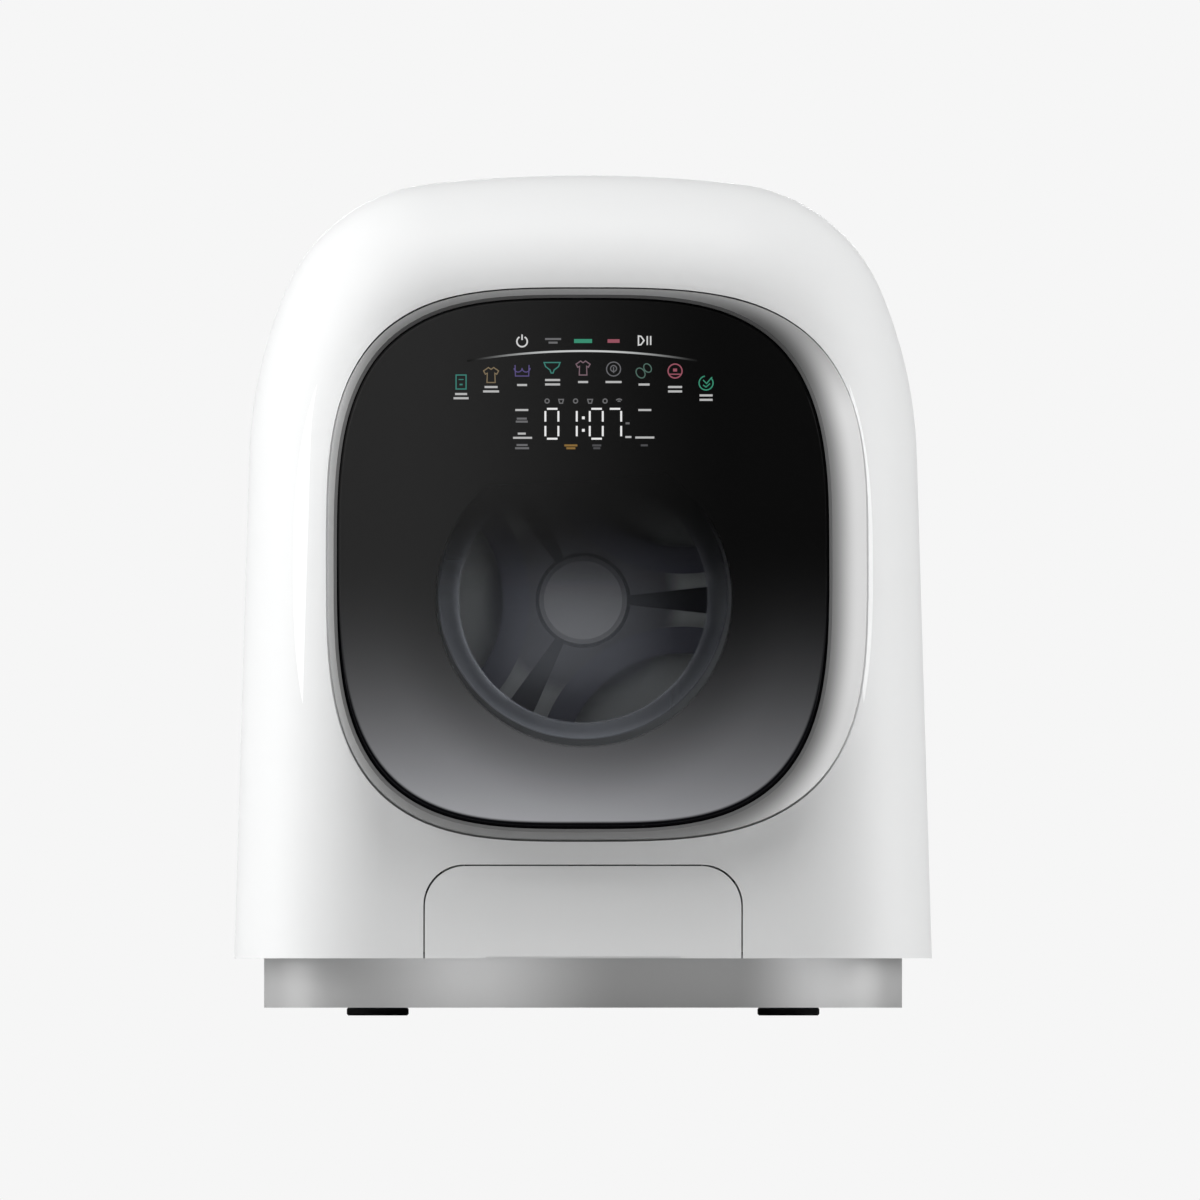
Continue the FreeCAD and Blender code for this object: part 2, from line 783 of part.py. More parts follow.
def tray_spots():
    reach = v.tray_width / 2 + v.tray_flange / 2
    return [(side * reach, v.tray_bottom + v.tray_height / 2 + end * v.tray_screw_rise)
            for side in (-1, 1) for end in (-1, 1)]


def make_rear_frame():
    frame = fitted_form.common(slab_y(v.frame_front, v.frame_back))
    frame = frame.common(slab_z(v.pan_top, 2 * v.body_top))
    for x, z in wall_spots():
        frame = frame.fuse(rod_y(v.wall_pad_radius, v.frame_front, v.back_plane, x, z))
    isolator_end = v.tub_rear_out + v.isolator_length
    for x, z in lug_spots():
        frame = frame.fuse(rod_y(v.post_radius, isolator_end, v.frame_front + 1, x, z))
    frame = frame.fuse(rod_y(v.access_radius + v.frame_wall, v.frame_front - v.access_lip, v.frame_back,
                             0, v.drum_height))
    holes = [rod_y(v.access_radius, v.frame_front - TAIL - v.access_lip, v.back_plane, 0, v.drum_height)]
    holes += [rod_y(v.wall_hole_radius, v.frame_front - 1, v.back_plane + 1, x, z)
              for x, z in wall_spots()]
    holes += [rod_y(v.isolator_bolt_radius + v.bolt_fit, isolator_end - 1, isolator_end + v.bolt_hold, x,
                    z) for x, z in lug_spots()]
    holes += [rod_y(v.screw_radius + v.screw_fit, v.frame_front - 1, v.frame_back + 1, x, z)
              for x, z in rim_spots() + cover_spots() + tray_spots()]
    holes.append(Part.makeBox(v.tray_width + 2 * v.frame_fit, 2 * v.back_plane,
                              v.tray_height + 2 * v.frame_fit,
                              Vector(-v.tray_width / 2 - v.frame_fit, 0, v.tray_bottom - v.frame_fit)))
    solid_feature("rear_frame", frame.cut(holes))


def make_rear_cover():
    cover = turned("coverPlate", [
        ("0", "frame_back"), ("cover_radius", "frame_back"),
        ("cover_radius", "frame_back + cover_thick - 1"),
        ("cover_radius - 1", "frame_back + cover_thick"),
        ("cover_radius - 14", "frame_back + cover_thick"),
        ("cover_radius - 16", "frame_back + cover_thick - 1"), ("0", "frame_back + cover_thick - 1")],
                   "y", z="drum_height")
    doc.recompute()
    shape = cover.Shape
    slot = Part.makeBox(v.vent_length, 4 * v.cover_thick, v.vent_width,
                        Vector(v.vent_start, v.frame_back - v.cover_thick, -v.vent_width / 2))
    slots = []
    for step in range(VENTS):
        one = slot.copy()
        one.rotate(Vector(), Vector(0, 1, 0), 360 / VENTS * (step + 0.5))
        one.translate(Vector(0, 0, v.drum_height))
        slots.append(one)
    slots += [rod_y(v.screw_radius + v.screw_fit, v.frame_back - 1, v.back_plane, x, z)
              for x, z in cover_spots()]
    solid_feature("rear_cover", shape.cut(slots))


def make_service_tray():
    half, low, high = v.tray_width / 2, v.tray_bottom, v.tray_bottom + v.tray_height
    tray = Part.makeBox(2 * half, v.frame_back - v.tray_floor + v.tray_wall, high - low,
                        Vector(-half, v.tray_floor, low))
    lip = Part.makeBox(2 * (half + v.tray_flange), v.tray_wall, high - low + 2 * v.tray_rim,
                       Vector(-half - v.tray_flange, v.frame_back, low - v.tray_rim))
    hollow = Part.makeBox(2 * (half - v.tray_wall), 2 * v.tray_depth, high - low - 2 * v.tray_wall,
                          Vector(-half + v.tray_wall, v.tray_floor + v.tray_wall, low + v.tray_wall))
    tray = tray.fuse(lip).cut(hollow)
    holes = [(v.valve_x, v.valve_height, v.inlet_radius + v.stub_collar),
             (v.pump_x, v.outlet_height, v.spigot_radius + v.stub_collar),
             (v.gland_x, v.valve_height, v.gland_radius)]
    tray = tray.cut([rod_y(radius + v.bolt_fit, v.tray_floor - 1, v.tray_floor + v.tray_wall + 1, x, z)
                     for x, z, radius in holes])
    tray = tray.cut([rod_y(v.screw_radius + v.screw_fit, v.frame_back - 1, v.back_plane, x, z)
                     for x, z in tray_spots()])
    solid_feature("service_tray", tray)


def screw_y(x, z, head_at, direction=-1):
    """Pan head screw along Y whose head rests on a plane and whose shank points one way."""
    shank_low = head_at + (direction * v.screw_length if direction < 0 else 0)
    shank = rod_y(v.screw_radius, shank_low, shank_low + v.screw_length, x, z)
    head_low = head_at if direction < 0 else head_at - v.screw_head_height
    return shank.fuse(rod_y(v.screw_head_radius, head_low, head_low + v.screw_head_height, x, z))


def make_case_screws():
    screws = [screw_y(x, z, v.frame_back) for x, z in rim_spots()]
    screws += [screw_y(x, z, v.frame_back + v.cover_thick) for x, z in cover_spots()]
    screws += [screw_y(x, z, v.frame_back + v.tray_wall) for x, z in tray_spots()]
    screws += [screw_y(x, z, v.split_plane - v.tub_flange_thick, 1) for x, z in tub_bolt_spots()]
    solid_feature("case_screws", Part.makeCompound(screws))


# ---------------------------------------------------------------- tub, drum and motor
def swept(points, bend, radius):
    """Round bar along straight runs joined by arcs of one radius."""
    points = [Vector(*point) for point in points]
    edges, start = [], points[0]
    for before, corner, after in zip(points, points[1:], points[2:]):
        back, ahead = (before - corner).normalize(), (after - corner).normalize()
        reach = bend / math.tan(back.getAngle(ahead) / 2)
        first, last = corner + back * reach, corner + ahead * reach
        inward = (back + ahead).normalize()
        middle = corner + inward * (math.hypot(bend, reach) - bend)
        if (first - start).Length > 1e-6:
            edges.append(Part.LineSegment(start, first).toShape())
        edges.append(Part.Arc(first, middle, last).toShape())
        start = last
    edges.append(Part.LineSegment(start, points[-1]).toShape())
    ring = Part.Wire([Part.Circle(points[0], points[1] - points[0], radius).toShape()])
    return Part.Wire(edges).makePipeShell([ring], True, False)


def hose(points, bend, outer, inner):
    return swept(points, bend, outer).cut(swept(points, bend, inner))


def rod_z(radius, low, high, x, y):
    return Part.makeCylinder(radius, high - low, Vector(x, y, low))


def rod_x(radius, low, high, y, z):
    return Part.makeCylinder(radius, high - low, Vector(low, y, z), Vector(1, 0, 0))


def block(x_range, y_range, z_range):
    return Part.makeBox(x_range[1] - x_range[0], y_range[1] - y_range[0], z_range[1] - z_range[0],
                        Vector(x_range[0], y_range[0], z_range[0]))


def finished(item):
    """Shape of a helper item after the document has been worked out."""
    doc.recompute()
    return item.Shape.copy()


def tub_bolt_spots():
    turns = [math.radians(30 * step + 15) for step in range(12)]
    reach = v.tub_radius + v.tub_flange / 2
    return [(reach * math.cos(turn), v.drum_height + reach * math.sin(turn)) for turn in turns]


def make_tub_front():
    barrel = turned("tubFrontBarrel", [
        ("tub_mouth", "tub_front - tub_collar"), ("tub_mouth + tub_wall", "tub_front - tub_collar"),
        ("tub_mouth + tub_wall", "tub_front"), ("tub_radius - 6", "tub_front"),
        ("tub_radius", "tub_front + 6"), ("tub_radius", "split_plane - tub_flange_thick"),
        ("tub_radius + tub_flange", "split_plane - tub_flange_thick"),
        ("tub_radius + tub_flange", "split_plane"), ("tub_inner", "split_plane"),
        ("tub_inner", "tub_front + 7"), ("tub_inner - 4", "tub_front + tub_wall"),
        ("tub_mouth", "tub_front + tub_wall")], z="drum_height")
    holes = [rod_y(v.screw_radius + v.screw_fit, v.split_plane - 2 * v.tub_flange_thick,
                   v.split_plane + 1, x, z) for x, z in tub_bolt_spots()]
    solid_feature("tub_front", finished(barrel).cut(holes))


def make_tub_rear():
    rear = turned("tubRearShell", [
        ("tub_inner", "split_plane"), ("tub_radius + tub_flange", "split_plane"),
        ("tub_radius + tub_flange", "split_plane + tub_flange_thick"),
        ("tub_radius", "split_plane + tub_flange_thick"), ("tub_radius", "tub_rear_out"),
        ("hub_radius", "tub_rear_out"), ("hub_radius", "hub_end"), ("bearing_radius", "hub_end"),
        ("bearing_radius", "hub_end - bearing_width"), ("bearing_radius - 3", "hub_end - bearing_width"),
        ("bearing_radius - 3", "tub_rear_in + seal_width + bearing_width"),
        ("bearing_radius", "tub_rear_in + seal_width + bearing_width"),
        ("bearing_radius", "tub_rear_in + seal_width"), ("seal_radius", "tub_rear_in + seal_width"),
        ("seal_radius", "tub_rear_in"), ("tub_inner", "tub_rear_in")], z="drum_height")
    spokes(rear, "tubRib", [
        ("hub_radius - 3", "tub_rear_out - 1"), ("tub_radius - 1", "tub_rear_out - 1"),
        ("tub_radius - 1", "tub_rear_out + 2"), ("hub_radius + 14", "tub_rear_out + tub_rib"),
        ("hub_radius - 3", "tub_rear_out + tub_rib")], "tub_rib_thick", 8)
    shape = finished(rear)
    drum_side = rod_y(v.tub_inner, v.split_plane, v.tub_rear_in, 0, v.drum_height)
    spout = rod_z(v.hose_radius + v.spout_wall, v.spout_end, v.drum_height - v.tub_inner, 0, v.pump_y)
    filler = rod_y(v.fill_hose_radius + v.socket_wall, v.tub_rear_out - 1, v.tub_rear_out + v.filler_stub,
                   v.fill_hose_x, v.fill_height)
    lugs = [rod_y(v.lug_radius, v.tub_rear_out - v.lug_thick, v.tub_rear_out, x, z)
            for x, z in lug_spots()]
    dosing = rod_z(v.dosing_hose_radius + v.socket_wall, v.dosing_socket, v.drum_height - v.tub_inner,
                   v.dock_x, v.dosing_y)
    seats = [rod_y(v.stator_boss, v.tub_rear_out - 1, v.stator_front, x, z) for x, z in stator_spots()]
    shape = shape.fuse([spout.cut(drum_side), dosing.cut(drum_side), filler]
                       + [lug.cut(drum_side) for lug in lugs] + seats)
    groove = rod_y(v.tub_radius + 1, v.split_plane, v.split_plane + v.seal_groove, 0, v.drum_height)
    groove = groove.cut(rod_y(v.tub_radius + 1 - v.seal_groove, v.split_plane - 1,
                              v.split_plane + 2 * v.seal_groove, 0, v.drum_height))
    plug = block((-v.heater_plug, v.heater_plug), (v.tub_rear_in - 1, v.tub_rear_out + v.tub_rib + 1),
                 (v.heater_height - v.heater_plug_half, v.heater_height + v.heater_plug_half))
    inside = v.drum_height - v.tub_inner + 4
    spout_seat = rod_z(v.hose_radius + v.bolt_fit, v.spout_end - 1, v.spout_end + v.seated, 0, v.pump_y)
    spout_bore = rod_z(v.hose_radius - v.hose_wall, v.spout_end, inside, 0, v.pump_y)
    dosing_seat = rod_z(v.dosing_hose_radius + v.bolt_fit, v.dosing_socket - 1, v.dosing_socket + 7,
                        v.dock_x, v.dosing_y)
    dosing_bore = rod_z(v.dosing_hose_radius - v.thin_hose_wall, v.dosing_socket, inside,
                        v.dock_x, v.dosing_y)
    filler_seat = rod_y(v.fill_hose_radius + v.bolt_fit, v.tub_rear_out + 2,
                        v.tub_rear_out + v.filler_stub + 1, v.fill_hose_x, v.fill_height)
    filler_bore = rod_y(v.fill_hose_radius - 2, v.tub_rear_in - 1, v.tub_rear_out + 3,
                        v.fill_hose_x, v.fill_height)
    holes = [groove, plug, spout_seat, spout_bore, dosing_seat, dosing_bore, filler_seat, filler_bore]
    holes += [rod_y(v.isolator_bolt_radius + v.bolt_fit, v.tub_rear_out - v.lug_thick - 1,
                    v.tub_rear_out + 1, x, z) for x, z in lug_spots()]
    holes += [rod_y(v.screw_radius + v.screw_fit, v.split_plane - 1,
                    v.split_plane + v.tub_flange_thick + 1, x, z) for x, z in tub_bolt_spots()]
    holes += [rod_y(v.stator_screw + v.bolt_fit, v.tub_rear_out, v.stator_front + 1, x, z)
              for x, z in stator_spots()]
    solid_feature("tub_rear", shape.cut(holes))


def stator_spots():
    turns = [math.radians(60 * step + 22.5) for step in range(6)]
    reach = v.stator_inner + v.stator_yoke / 2
    return [(reach * math.cos(turn), v.drum_height + reach * math.sin(turn)) for turn in turns]


def make_tub_fittings():
    keep(turned("tub_seal", [
        ("tub_radius + 1 - seal_groove", "split_plane"), ("tub_radius + 1", "split_plane"),
        ("tub_radius + 1", "split_plane + seal_groove"),
        ("tub_radius + 1 - seal_groove", "split_plane + seal_groove")],
        z="drum_height"))
    rubbers, bolts = [], []
    for x, z in lug_spots():
        end = v.tub_rear_out + v.isolator_length
        rubber = rod_y(v.isolator_radius, v.tub_rear_out, end, x, z)
        waist = Part.makeTorus(v.isolator_radius + 3, 6, Vector(x, (v.tub_rear_out + end) / 2, z),
                               Vector(0, 1, 0))
        bore = rod_y(v.isolator_bolt_radius + v.bolt_fit, v.tub_rear_out - 1, end + 1, x, z)
        rubbers.append(rubber.cut([waist, bore]))
        head = rod_y(6.5, v.tub_rear_out - v.lug_thick - 5, v.tub_rear_out - v.lug_thick, x, z)
        bolts.append(head.fuse(rod_y(v.isolator_bolt_radius, v.tub_rear_out - v.lug_thick,
                                     end + v.bolt_hold - 1, x, z)))
    solid_feature("tub_isolators", Part.makeCompound(rubbers))
    solid_feature("isolator_bolts", Part.makeCompound(bolts))


def make_bearings():
    bearings = []
    for name, low in (("frontBearing", "tub_rear_in + seal_width"),
                      ("rearBearing", "hub_end - bearing_width")):
        bearings.append(turned(name, [
            ("shaft_radius + bolt_fit", low), ("shaft_radius + 4", low),
            ("shaft_radius + 4", low + " + 0.6"), ("bearing_radius - 4", low + " + 0.6"),
            ("bearing_radius - 4", low), ("bearing_radius", low),
            ("bearing_radius", low + " + bearing_width"),
            ("bearing_radius - 4", low + " + bearing_width"),
            ("bearing_radius - 4", low + " + bearing_width - 0.6"),
            ("shaft_radius + 4", low + " + bearing_width - 0.6"),
            ("shaft_radius + 4", low + " + bearing_width"),
            ("shaft_radius + bolt_fit", low + " + bearing_width")], z="drum_height"))
    keep(group("bearings", bearings))
    keep(turned("shaft_seal", [
        ("shaft_radius + bolt_fit", "tub_rear_in"), ("seal_radius", "tub_rear_in"),
        ("seal_radius", "tub_rear_in + seal_width"), ("seal_radius - 3", "tub_rear_in + seal_width"),
        ("seal_radius - 5", "tub_rear_in + 1.5"), ("shaft_radius + 3", "tub_rear_in + 1.5"),
        ("shaft_radius + bolt_fit", "tub_rear_in + seal_width - 1")], z="drum_height"))


def make_motor():
    core = turned("statorYoke", [
        ("stator_inner", "stator_front"), ("stator_inner + stator_yoke", "stator_front"),
        ("stator_inner + stator_yoke", "stator_front + stator_width"),
        ("stator_inner", "stator_front + stator_width")], z="drum_height")
    spokes(core, "statorTooth", [
        ("stator_inner + stator_yoke - 2", "stator_front"), ("stator_outer", "stator_front"),
        ("stator_outer", "stator_front + stator_width"),
        ("stator_inner + stator_yoke - 2", "stator_front + stator_width")], "tooth_width", TEETH)
    holes = [rod_y(v.stator_screw + v.bolt_fit, v.stator_front - 1, v.stator_front + v.stator_width + 1,
                   x, z) for x, z in stator_spots()]
    solid_feature("stator_core", finished(core).common(
        rod_y(v.stator_outer, v.stator_front - 1, v.stator_front + v.stator_width + 1, 0,
              v.drum_height)).cut(holes))
    half = v.coil_width / 2
    over = half - v.tooth_width / 2
    low, high = v.stator_front - over, v.stator_front + v.stator_width + over
    near, far = v.stator_inner + v.stator_yoke + 2, v.stator_outer - 4
    coil = block((near, far), (low, high), (-half, half))
    coil = coil.makeFillet(over - 0.3,
                           [edge for edge in coil.Edges
                            if abs(edge.Vertexes[0].X - edge.Vertexes[-1].X) > 1])
    coil = coil.cut(block((near - 1, far + 1), (v.stator_front, v.stator_front + v.stator_width),
                          (-v.tooth_width / 2, v.tooth_width / 2)))
    coils = []
    for step in range(TEETH):
        one = coil.copy()
        one.rotate(Vector(), Vector(0, 1, 0), 360 / TEETH * step)
        one.translate(Vector(0, 0, v.drum_height))
        coils.append(one)
    solid_feature("stator_coils", Part.makeCompound(coils))
    screws = []
    for x, z in stator_spots():
        end = v.stator_front + v.stator_width
        shank = rod_y(v.stator_screw, v.tub_rear_out + 0.5, end, x, z)
        screws.append(shank.fuse(rod_y(4, end, end + 3, x, z)))
    solid_feature("stator_screws", Part.makeCompound(screws))
    keep(turned("rotor_magnets", [
        ("rotor_inner", "stator_front"), ("rotor_inner + magnet_thick", "stator_front"),
        ("rotor_inner + magnet_thick", "stator_front + stator_width"),
        ("rotor_inner", "stator_front + stator_width")], z="drum_height"))
    cup = turned("rotorShell", [
        ("shaft_radius - 2 + bolt_fit", "rotor_back"), ("shaft_radius + 10", "rotor_back"),
        ("shaft_radius + 16", "rotor_back"), ("rotor_outer - rotor_wall", "rotor_back"),
        ("rotor_outer - rotor_wall", "rotor_back - rotor_depth"),
        ("rotor_outer", "rotor_back - rotor_depth"), ("rotor_outer", "rotor_back + rotor_wall - 2"),
        ("rotor_outer - 2", "rotor_back + rotor_wall"),
        ("shaft_radius - 2 + bolt_fit", "rotor_back + rotor_wall")], z="drum_height")
    window = block((v.rotor_window_in, v.rotor_window_out),
                   (v.rotor_back - 1, v.rotor_back + v.rotor_wall + 1),
                   (-v.rotor_window_half, v.rotor_window_half))
    windows = []
    for step in range(8):
        one = window.copy()
        one.rotate(Vector(), Vector(0, 1, 0), 45 * step)
        one.translate(Vector(0, 0, v.drum_height))
        windows.append(one)
    solid_feature("rotor_cup", finished(cup).cut(windows))
    keep(turned("rotor_bolt", [
        ("0", "rotor_back - 14"), ("3.9", "rotor_back - 14"), ("3.9", "rotor_back + rotor_wall"),
        ("rotor_bolt_radius + 2.5", "rotor_back + rotor_wall"),
        ("rotor_bolt_radius + 2.5", "rotor_back + rotor_wall + 1.2"),
        ("rotor_bolt_radius", "rotor_back + rotor_wall + 1.2"),
        ("rotor_bolt_radius", "rotor_back + rotor_wall + 6"), ("0", "rotor_back + rotor_wall + 6")],
                z="drum_height"))


def make_drum():
    keep(turned("drum_shell", [
        ("drum_radius", "drum_rear"), ("drum_radius", "drum_front + 5"),
        ("drum_radius - 5", "drum_front"), ("drum_mouth + 2", "drum_front"),
        ("drum_mouth", "drum_front + 2"), ("drum_mouth", "drum_front + drum_lip"),
        ("drum_mouth + drum_wall", "drum_front + drum_lip"), ("drum_mouth + drum_wall", "drum_front + 3"),
        ("drum_mouth + 3", "drum_front + drum_wall"), ("drum_radius - 5", "drum_front + drum_wall"),
        ("drum_radius - drum_wall", "drum_front + 6"), ("drum_radius - drum_wall", "drum_rear")],
                z="drum_height"))
    back = turned("drumBackPlate", [
        ("0", "drum_rear - drum_back_thick"), ("drum_radius - drum_wall", "drum_rear - drum_back_thick"),
        ("drum_radius - drum_wall", "drum_rear"), ("0", "drum_rear")], z="drum_height")
    plate = finished(back)
    wedge = Part.Face(Part.makePolygon([
        Vector(v.hub_cap_radius, 0, -v.spoke_inner / 2), Vector(v.ring_radius, 0, -v.spoke_outer / 2),
        Vector(v.ring_radius, 0, v.spoke_outer / 2), Vector(v.hub_cap_radius, 0, v.spoke_inner / 2),
        Vector(v.hub_cap_radius, 0, -v.spoke_inner / 2)]))
    wedge = wedge.extrude(Vector(0, -v.spoke_rise, 0))
    arms = []
    for step in range(3):
        one = wedge.copy()
        one.rotate(Vector(), Vector(0, 1, 0), -120 * step)
        one.translate(Vector(0, v.drum_rear - v.drum_back_thick, v.drum_height))
        arms.append(one)
    solid_feature("drum_back", plate.fuse(arms))
    vanes = []
    for turn in (60, 180, 300):
        spot = (v.vane_offset * math.cos(math.radians(turn)),
                v.drum_height + v.vane_offset * math.sin(math.radians(turn)))
        front = v.drum_rear - v.drum_back_thick - v.vane_height
        ring = rod_y(v.vane_radius, front, v.drum_rear - v.drum_back_thick, *spot)
        ring = ring.cut(rod_y(v.vane_radius - v.vane_width, front - 1, v.drum_rear, *spot))
        ring = ring.common(rod_y(v.drum_radius - v.drum_wall, front, v.drum_rear, 0, v.drum_height))
        vanes.append(ring.cut(arms))
    solid_feature("drum_lifters", Part.makeCompound(vanes))
    keep(turned("hub_cap", [
        ("0", "drum_rear - drum_back_thick"), ("hub_cap_radius - 1", "drum_rear - drum_back_thick"),
        ("hub_cap_radius - 1", "drum_rear - drum_back_thick - spoke_rise"),
        ("hub_cap_radius - 1", "drum_rear - drum_back_thick - hub_cap_height + 3"),
        ("hub_cap_radius - 4", "drum_rear - drum_back_thick - hub_cap_height"),
        ("0", "drum_rear - drum_back_thick - hub_cap_height")], z="drum_height"))
    shaft = turned("shaftBar", [
        ("0", "drum_rear"), ("hub_radius - 6", "drum_rear"),
        ("hub_radius - 6", "drum_rear + spider_thick"),
        ("shaft_radius + 4", "drum_rear + spider_thick + 4"),
        ("shaft_radius", "drum_rear + spider_thick + 5"), ("shaft_radius", "rotor_back - 2"),
        ("shaft_radius - 2", "rotor_back - 2"), ("shaft_radius - 2", "rotor_back"),
        ("shaft_radius - 2", "rotor_back + rotor_wall"), ("3.9", "rotor_back + rotor_wall"),
        ("3.9", "rotor_back - 14"), ("0", "rotor_back - 14")], z="drum_height")
    spokes(shaft, "spiderArm", [
        ("shaft_radius", "drum_rear"), ("drum_radius - drum_wall", "drum_rear"),
        ("drum_radius - drum_wall", "drum_rear + 4"), ("shaft_radius", "drum_rear + spider_thick")],
        "spider_arm", 3)
    keep(shaft).Label = "drum_shaft"


# ---------------------------------------------------------------- door, hinge and lock
def door_hinge_notch(n_low, half):
    return door_block((v.hinge_x - v.notch_half, v.hinge_x + v.notch_half), (n_low, v.notch_front),
                      (-half, half))


def door_rod(radius, n_low, n_high, x, up):
    """Round bar along the door's depth, in the door's own frame."""
    return Part.makeCylinder(radius, n_high - n_low, Vector(x, -n_high, up), Vector(0, 1, 0))


def door_post(radius, low, high, x, n):
    """Round bar along the door's height, in the door's own frame."""
    return Part.makeCylinder(radius, high - low, Vector(x, -n, low))


def door_screw_spots():
    spots = []
    for step in range(8):
        across, rise = rounded_power(math.pi * (2 * step + 1) / 8, v.door_power)
        wide = v.door_right - v.grip_side_inset if across > 0 else v.door_left - v.door_screw_inset
        tall = v.door_up if rise > 0 else v.door_down
        spots.append((across * wide, rise * (tall - v.door_screw_inset)))
    return spots


def make_door_frame():
    back, shoulder = v.door_back, v.door_shoulder
    frame = prism(door_outline(0, back), shoulder - back)
    frame = frame.fuse(blend(door_outline(0, shoulder), glass_outline(v.glass_rim, v.door_proud)))
    seat = v.door_proud - v.glass_thick
    hollow = prism(door_outline(-v.door_wall, back - 1), shoulder - back)
    hollow = hollow.fuse(blend(door_outline(-v.door_wall, shoulder - 1),
                               glass_outline(-v.door_ledge, seat - v.door_ledge_thick)))
    frame = frame.cut([hollow, prism(glass_outline(v.glass_fit, seat), 2 * v.glass_thick),
                       prism(glass_outline(-v.door_ledge, 0), v.door_proud)])
    bosses = [door_rod(v.door_boss, back + v.liner_thick, seat - v.door_ledge_thick + 0.5, x, up)
              for x, up in door_screw_spots()]
    frame = frame.fuse(bosses)
    frame = frame.cut([door_rod(v.screw_radius + v.screw_fit, back, back + v.screw_length + 2, x, up)
                       for x, up in door_screw_spots()])
    frame = frame.cut(door_hinge_notch(back - 2, v.hinge_length / 2 + v.hinge_ear + 2))
    grip = door_block((v.door_right - v.grip_depth, v.door_right + 5),
                      (v.grip_low, v.grip_low + v.grip_width), (-v.grip_height / 2, v.grip_height / 2))
    shell = door_block((v.door_right - v.grip_depth - v.door_wall, v.door_right - v.door_wall / 2),
                       (v.grip_low - v.door_wall, v.grip_low + v.grip_width + v.door_wall),
                       (-v.grip_height / 2 - v.door_wall, v.grip_height / 2 + v.door_wall))
    body = prism(door_outline(0, back), shoulder - back).common(shell)
    frame = frame.fuse(body).cut(grip)
    solid_feature("door_frame", frame, door_placement)


def make_door_glass():
    seat = v.door_proud - v.glass_thick
    glass = prism(glass_outline(0, seat), v.glass_thick - v.glass_edge)
    glass = glass.fuse(blend(glass_outline(0, v.door_proud - v.glass_edge),
                             glass_outline(-v.glass_edge, v.door_proud)))
    solid_feature("door_glass", glass, door_placement)


def make_door_liner():
    back = v.door_back
    liner = prism(door_outline(-v.door_wall - v.glass_fit, back), v.liner_thick)
    liner = liner.cut([door_rod(v.bowl_radius + v.run_gap, back - 1, back + v.liner_thick + 1, 0,
                                -v.bowl_drop),
                       door_hinge_notch(back - 2, v.hinge_length / 2 + v.hinge_ear + 2)])
    liner = liner.cut([door_rod(v.screw_radius + v.screw_fit, back - 1, back + v.liner_thick + 1, x, up)
                       for x, up in door_screw_spots()])
    grip = door_block((v.door_right - v.grip_depth - v.door_wall - v.glass_fit, v.door_right + 1),
                      (back - 1, 0),
                      (-v.grip_height / 2 - v.door_wall - v.glass_fit, v.grip_height / 2 + v.door_wall
                       + v.glass_fit))
    if v.grip_low - v.door_wall < back + v.liner_thick:
        liner = liner.cut(grip)
    half = v.striker_width / 2 + v.glass_fit
    liner = liner.cut(door_block((v.lock_x - half, v.lock_x + half), (back - 1, 0),
                                 (-v.striker_thick / 2 - v.glass_fit, v.striker_thick / 2 + v.glass_fit)))
    solid_feature("door_liner", liner, door_placement)
    screws = []
    for x, up in door_screw_spots():
        head = door_rod(v.screw_head_radius - 1.2, back - 1.2, back, x, up)
        screws.append(head.fuse(door_rod(v.screw_radius, back, back + v.screw_length, x, up)))
    solid_feature("door_screws", Part.makeCompound(screws), door_placement)


def make_door_bowl():
    bowl = turned("door_bowl", [
        ("bowl_radius + bowl_flange", "-(door_back + liner_thick)"),
        ("bowl_radius + bowl_flange", "-(door_back + liner_thick + bowl_flange_thick)"),
        ("bowl_radius - bowl_wall", "-(door_back + liner_thick + bowl_flange_thick)"),
        ("bowl_back_radius - bowl_wall", "bowl_end - bowl_wall - 5"),
        ("bowl_back_radius - bowl_wall - 9", "bowl_end - bowl_wall"), ("0", "bowl_end - bowl_wall"),
        ("0", "bowl_end"), ("bowl_back_radius - 7", "bowl_end"), ("bowl_back_radius", "bowl_end - 7"),
        ("bowl_radius", "-(door_back + liner_thick)")])
    keep(lean_with_door(bowl))
    ring = turned("bowl_ring", [
        ("bowl_radius + bowl_flange + 0.1", "-(door_back + liner_thick)"),
        ("bowl_radius + bowl_flange + 7", "-(door_back + liner_thick)"),
        ("bowl_radius + bowl_flange + 7", "-(door_back + liner_thick + bowl_flange_thick + 2)"),
        ("bowl_radius - bowl_wall + 1", "-(door_back + liner_thick + bowl_flange_thick + 2)"),
        ("bowl_radius - bowl_wall + 1", "-(door_back + liner_thick + bowl_flange_thick)"),
        ("bowl_radius + bowl_flange + 0.1", "-(door_back + liner_thick + bowl_flange_thick)")])
    keep(lean_with_door(ring))


def make_display():
    half, low, high = v.display_width / 2, v.display_low, v.display_high
    seat = v.door_proud - v.glass_thick
    board = door_block((-half, half), (seat - v.display_board_thick, seat), (low, high))
    chip = door_block((-v.chip_half, v.chip_half),
                      (seat - v.display_board_thick - v.chip_thick, seat - v.display_board_thick),
                      (low + v.chip_rise, low + v.chip_rise + v.chip_height))
    solid_feature("display_board", board.fuse(chip), door_placement)


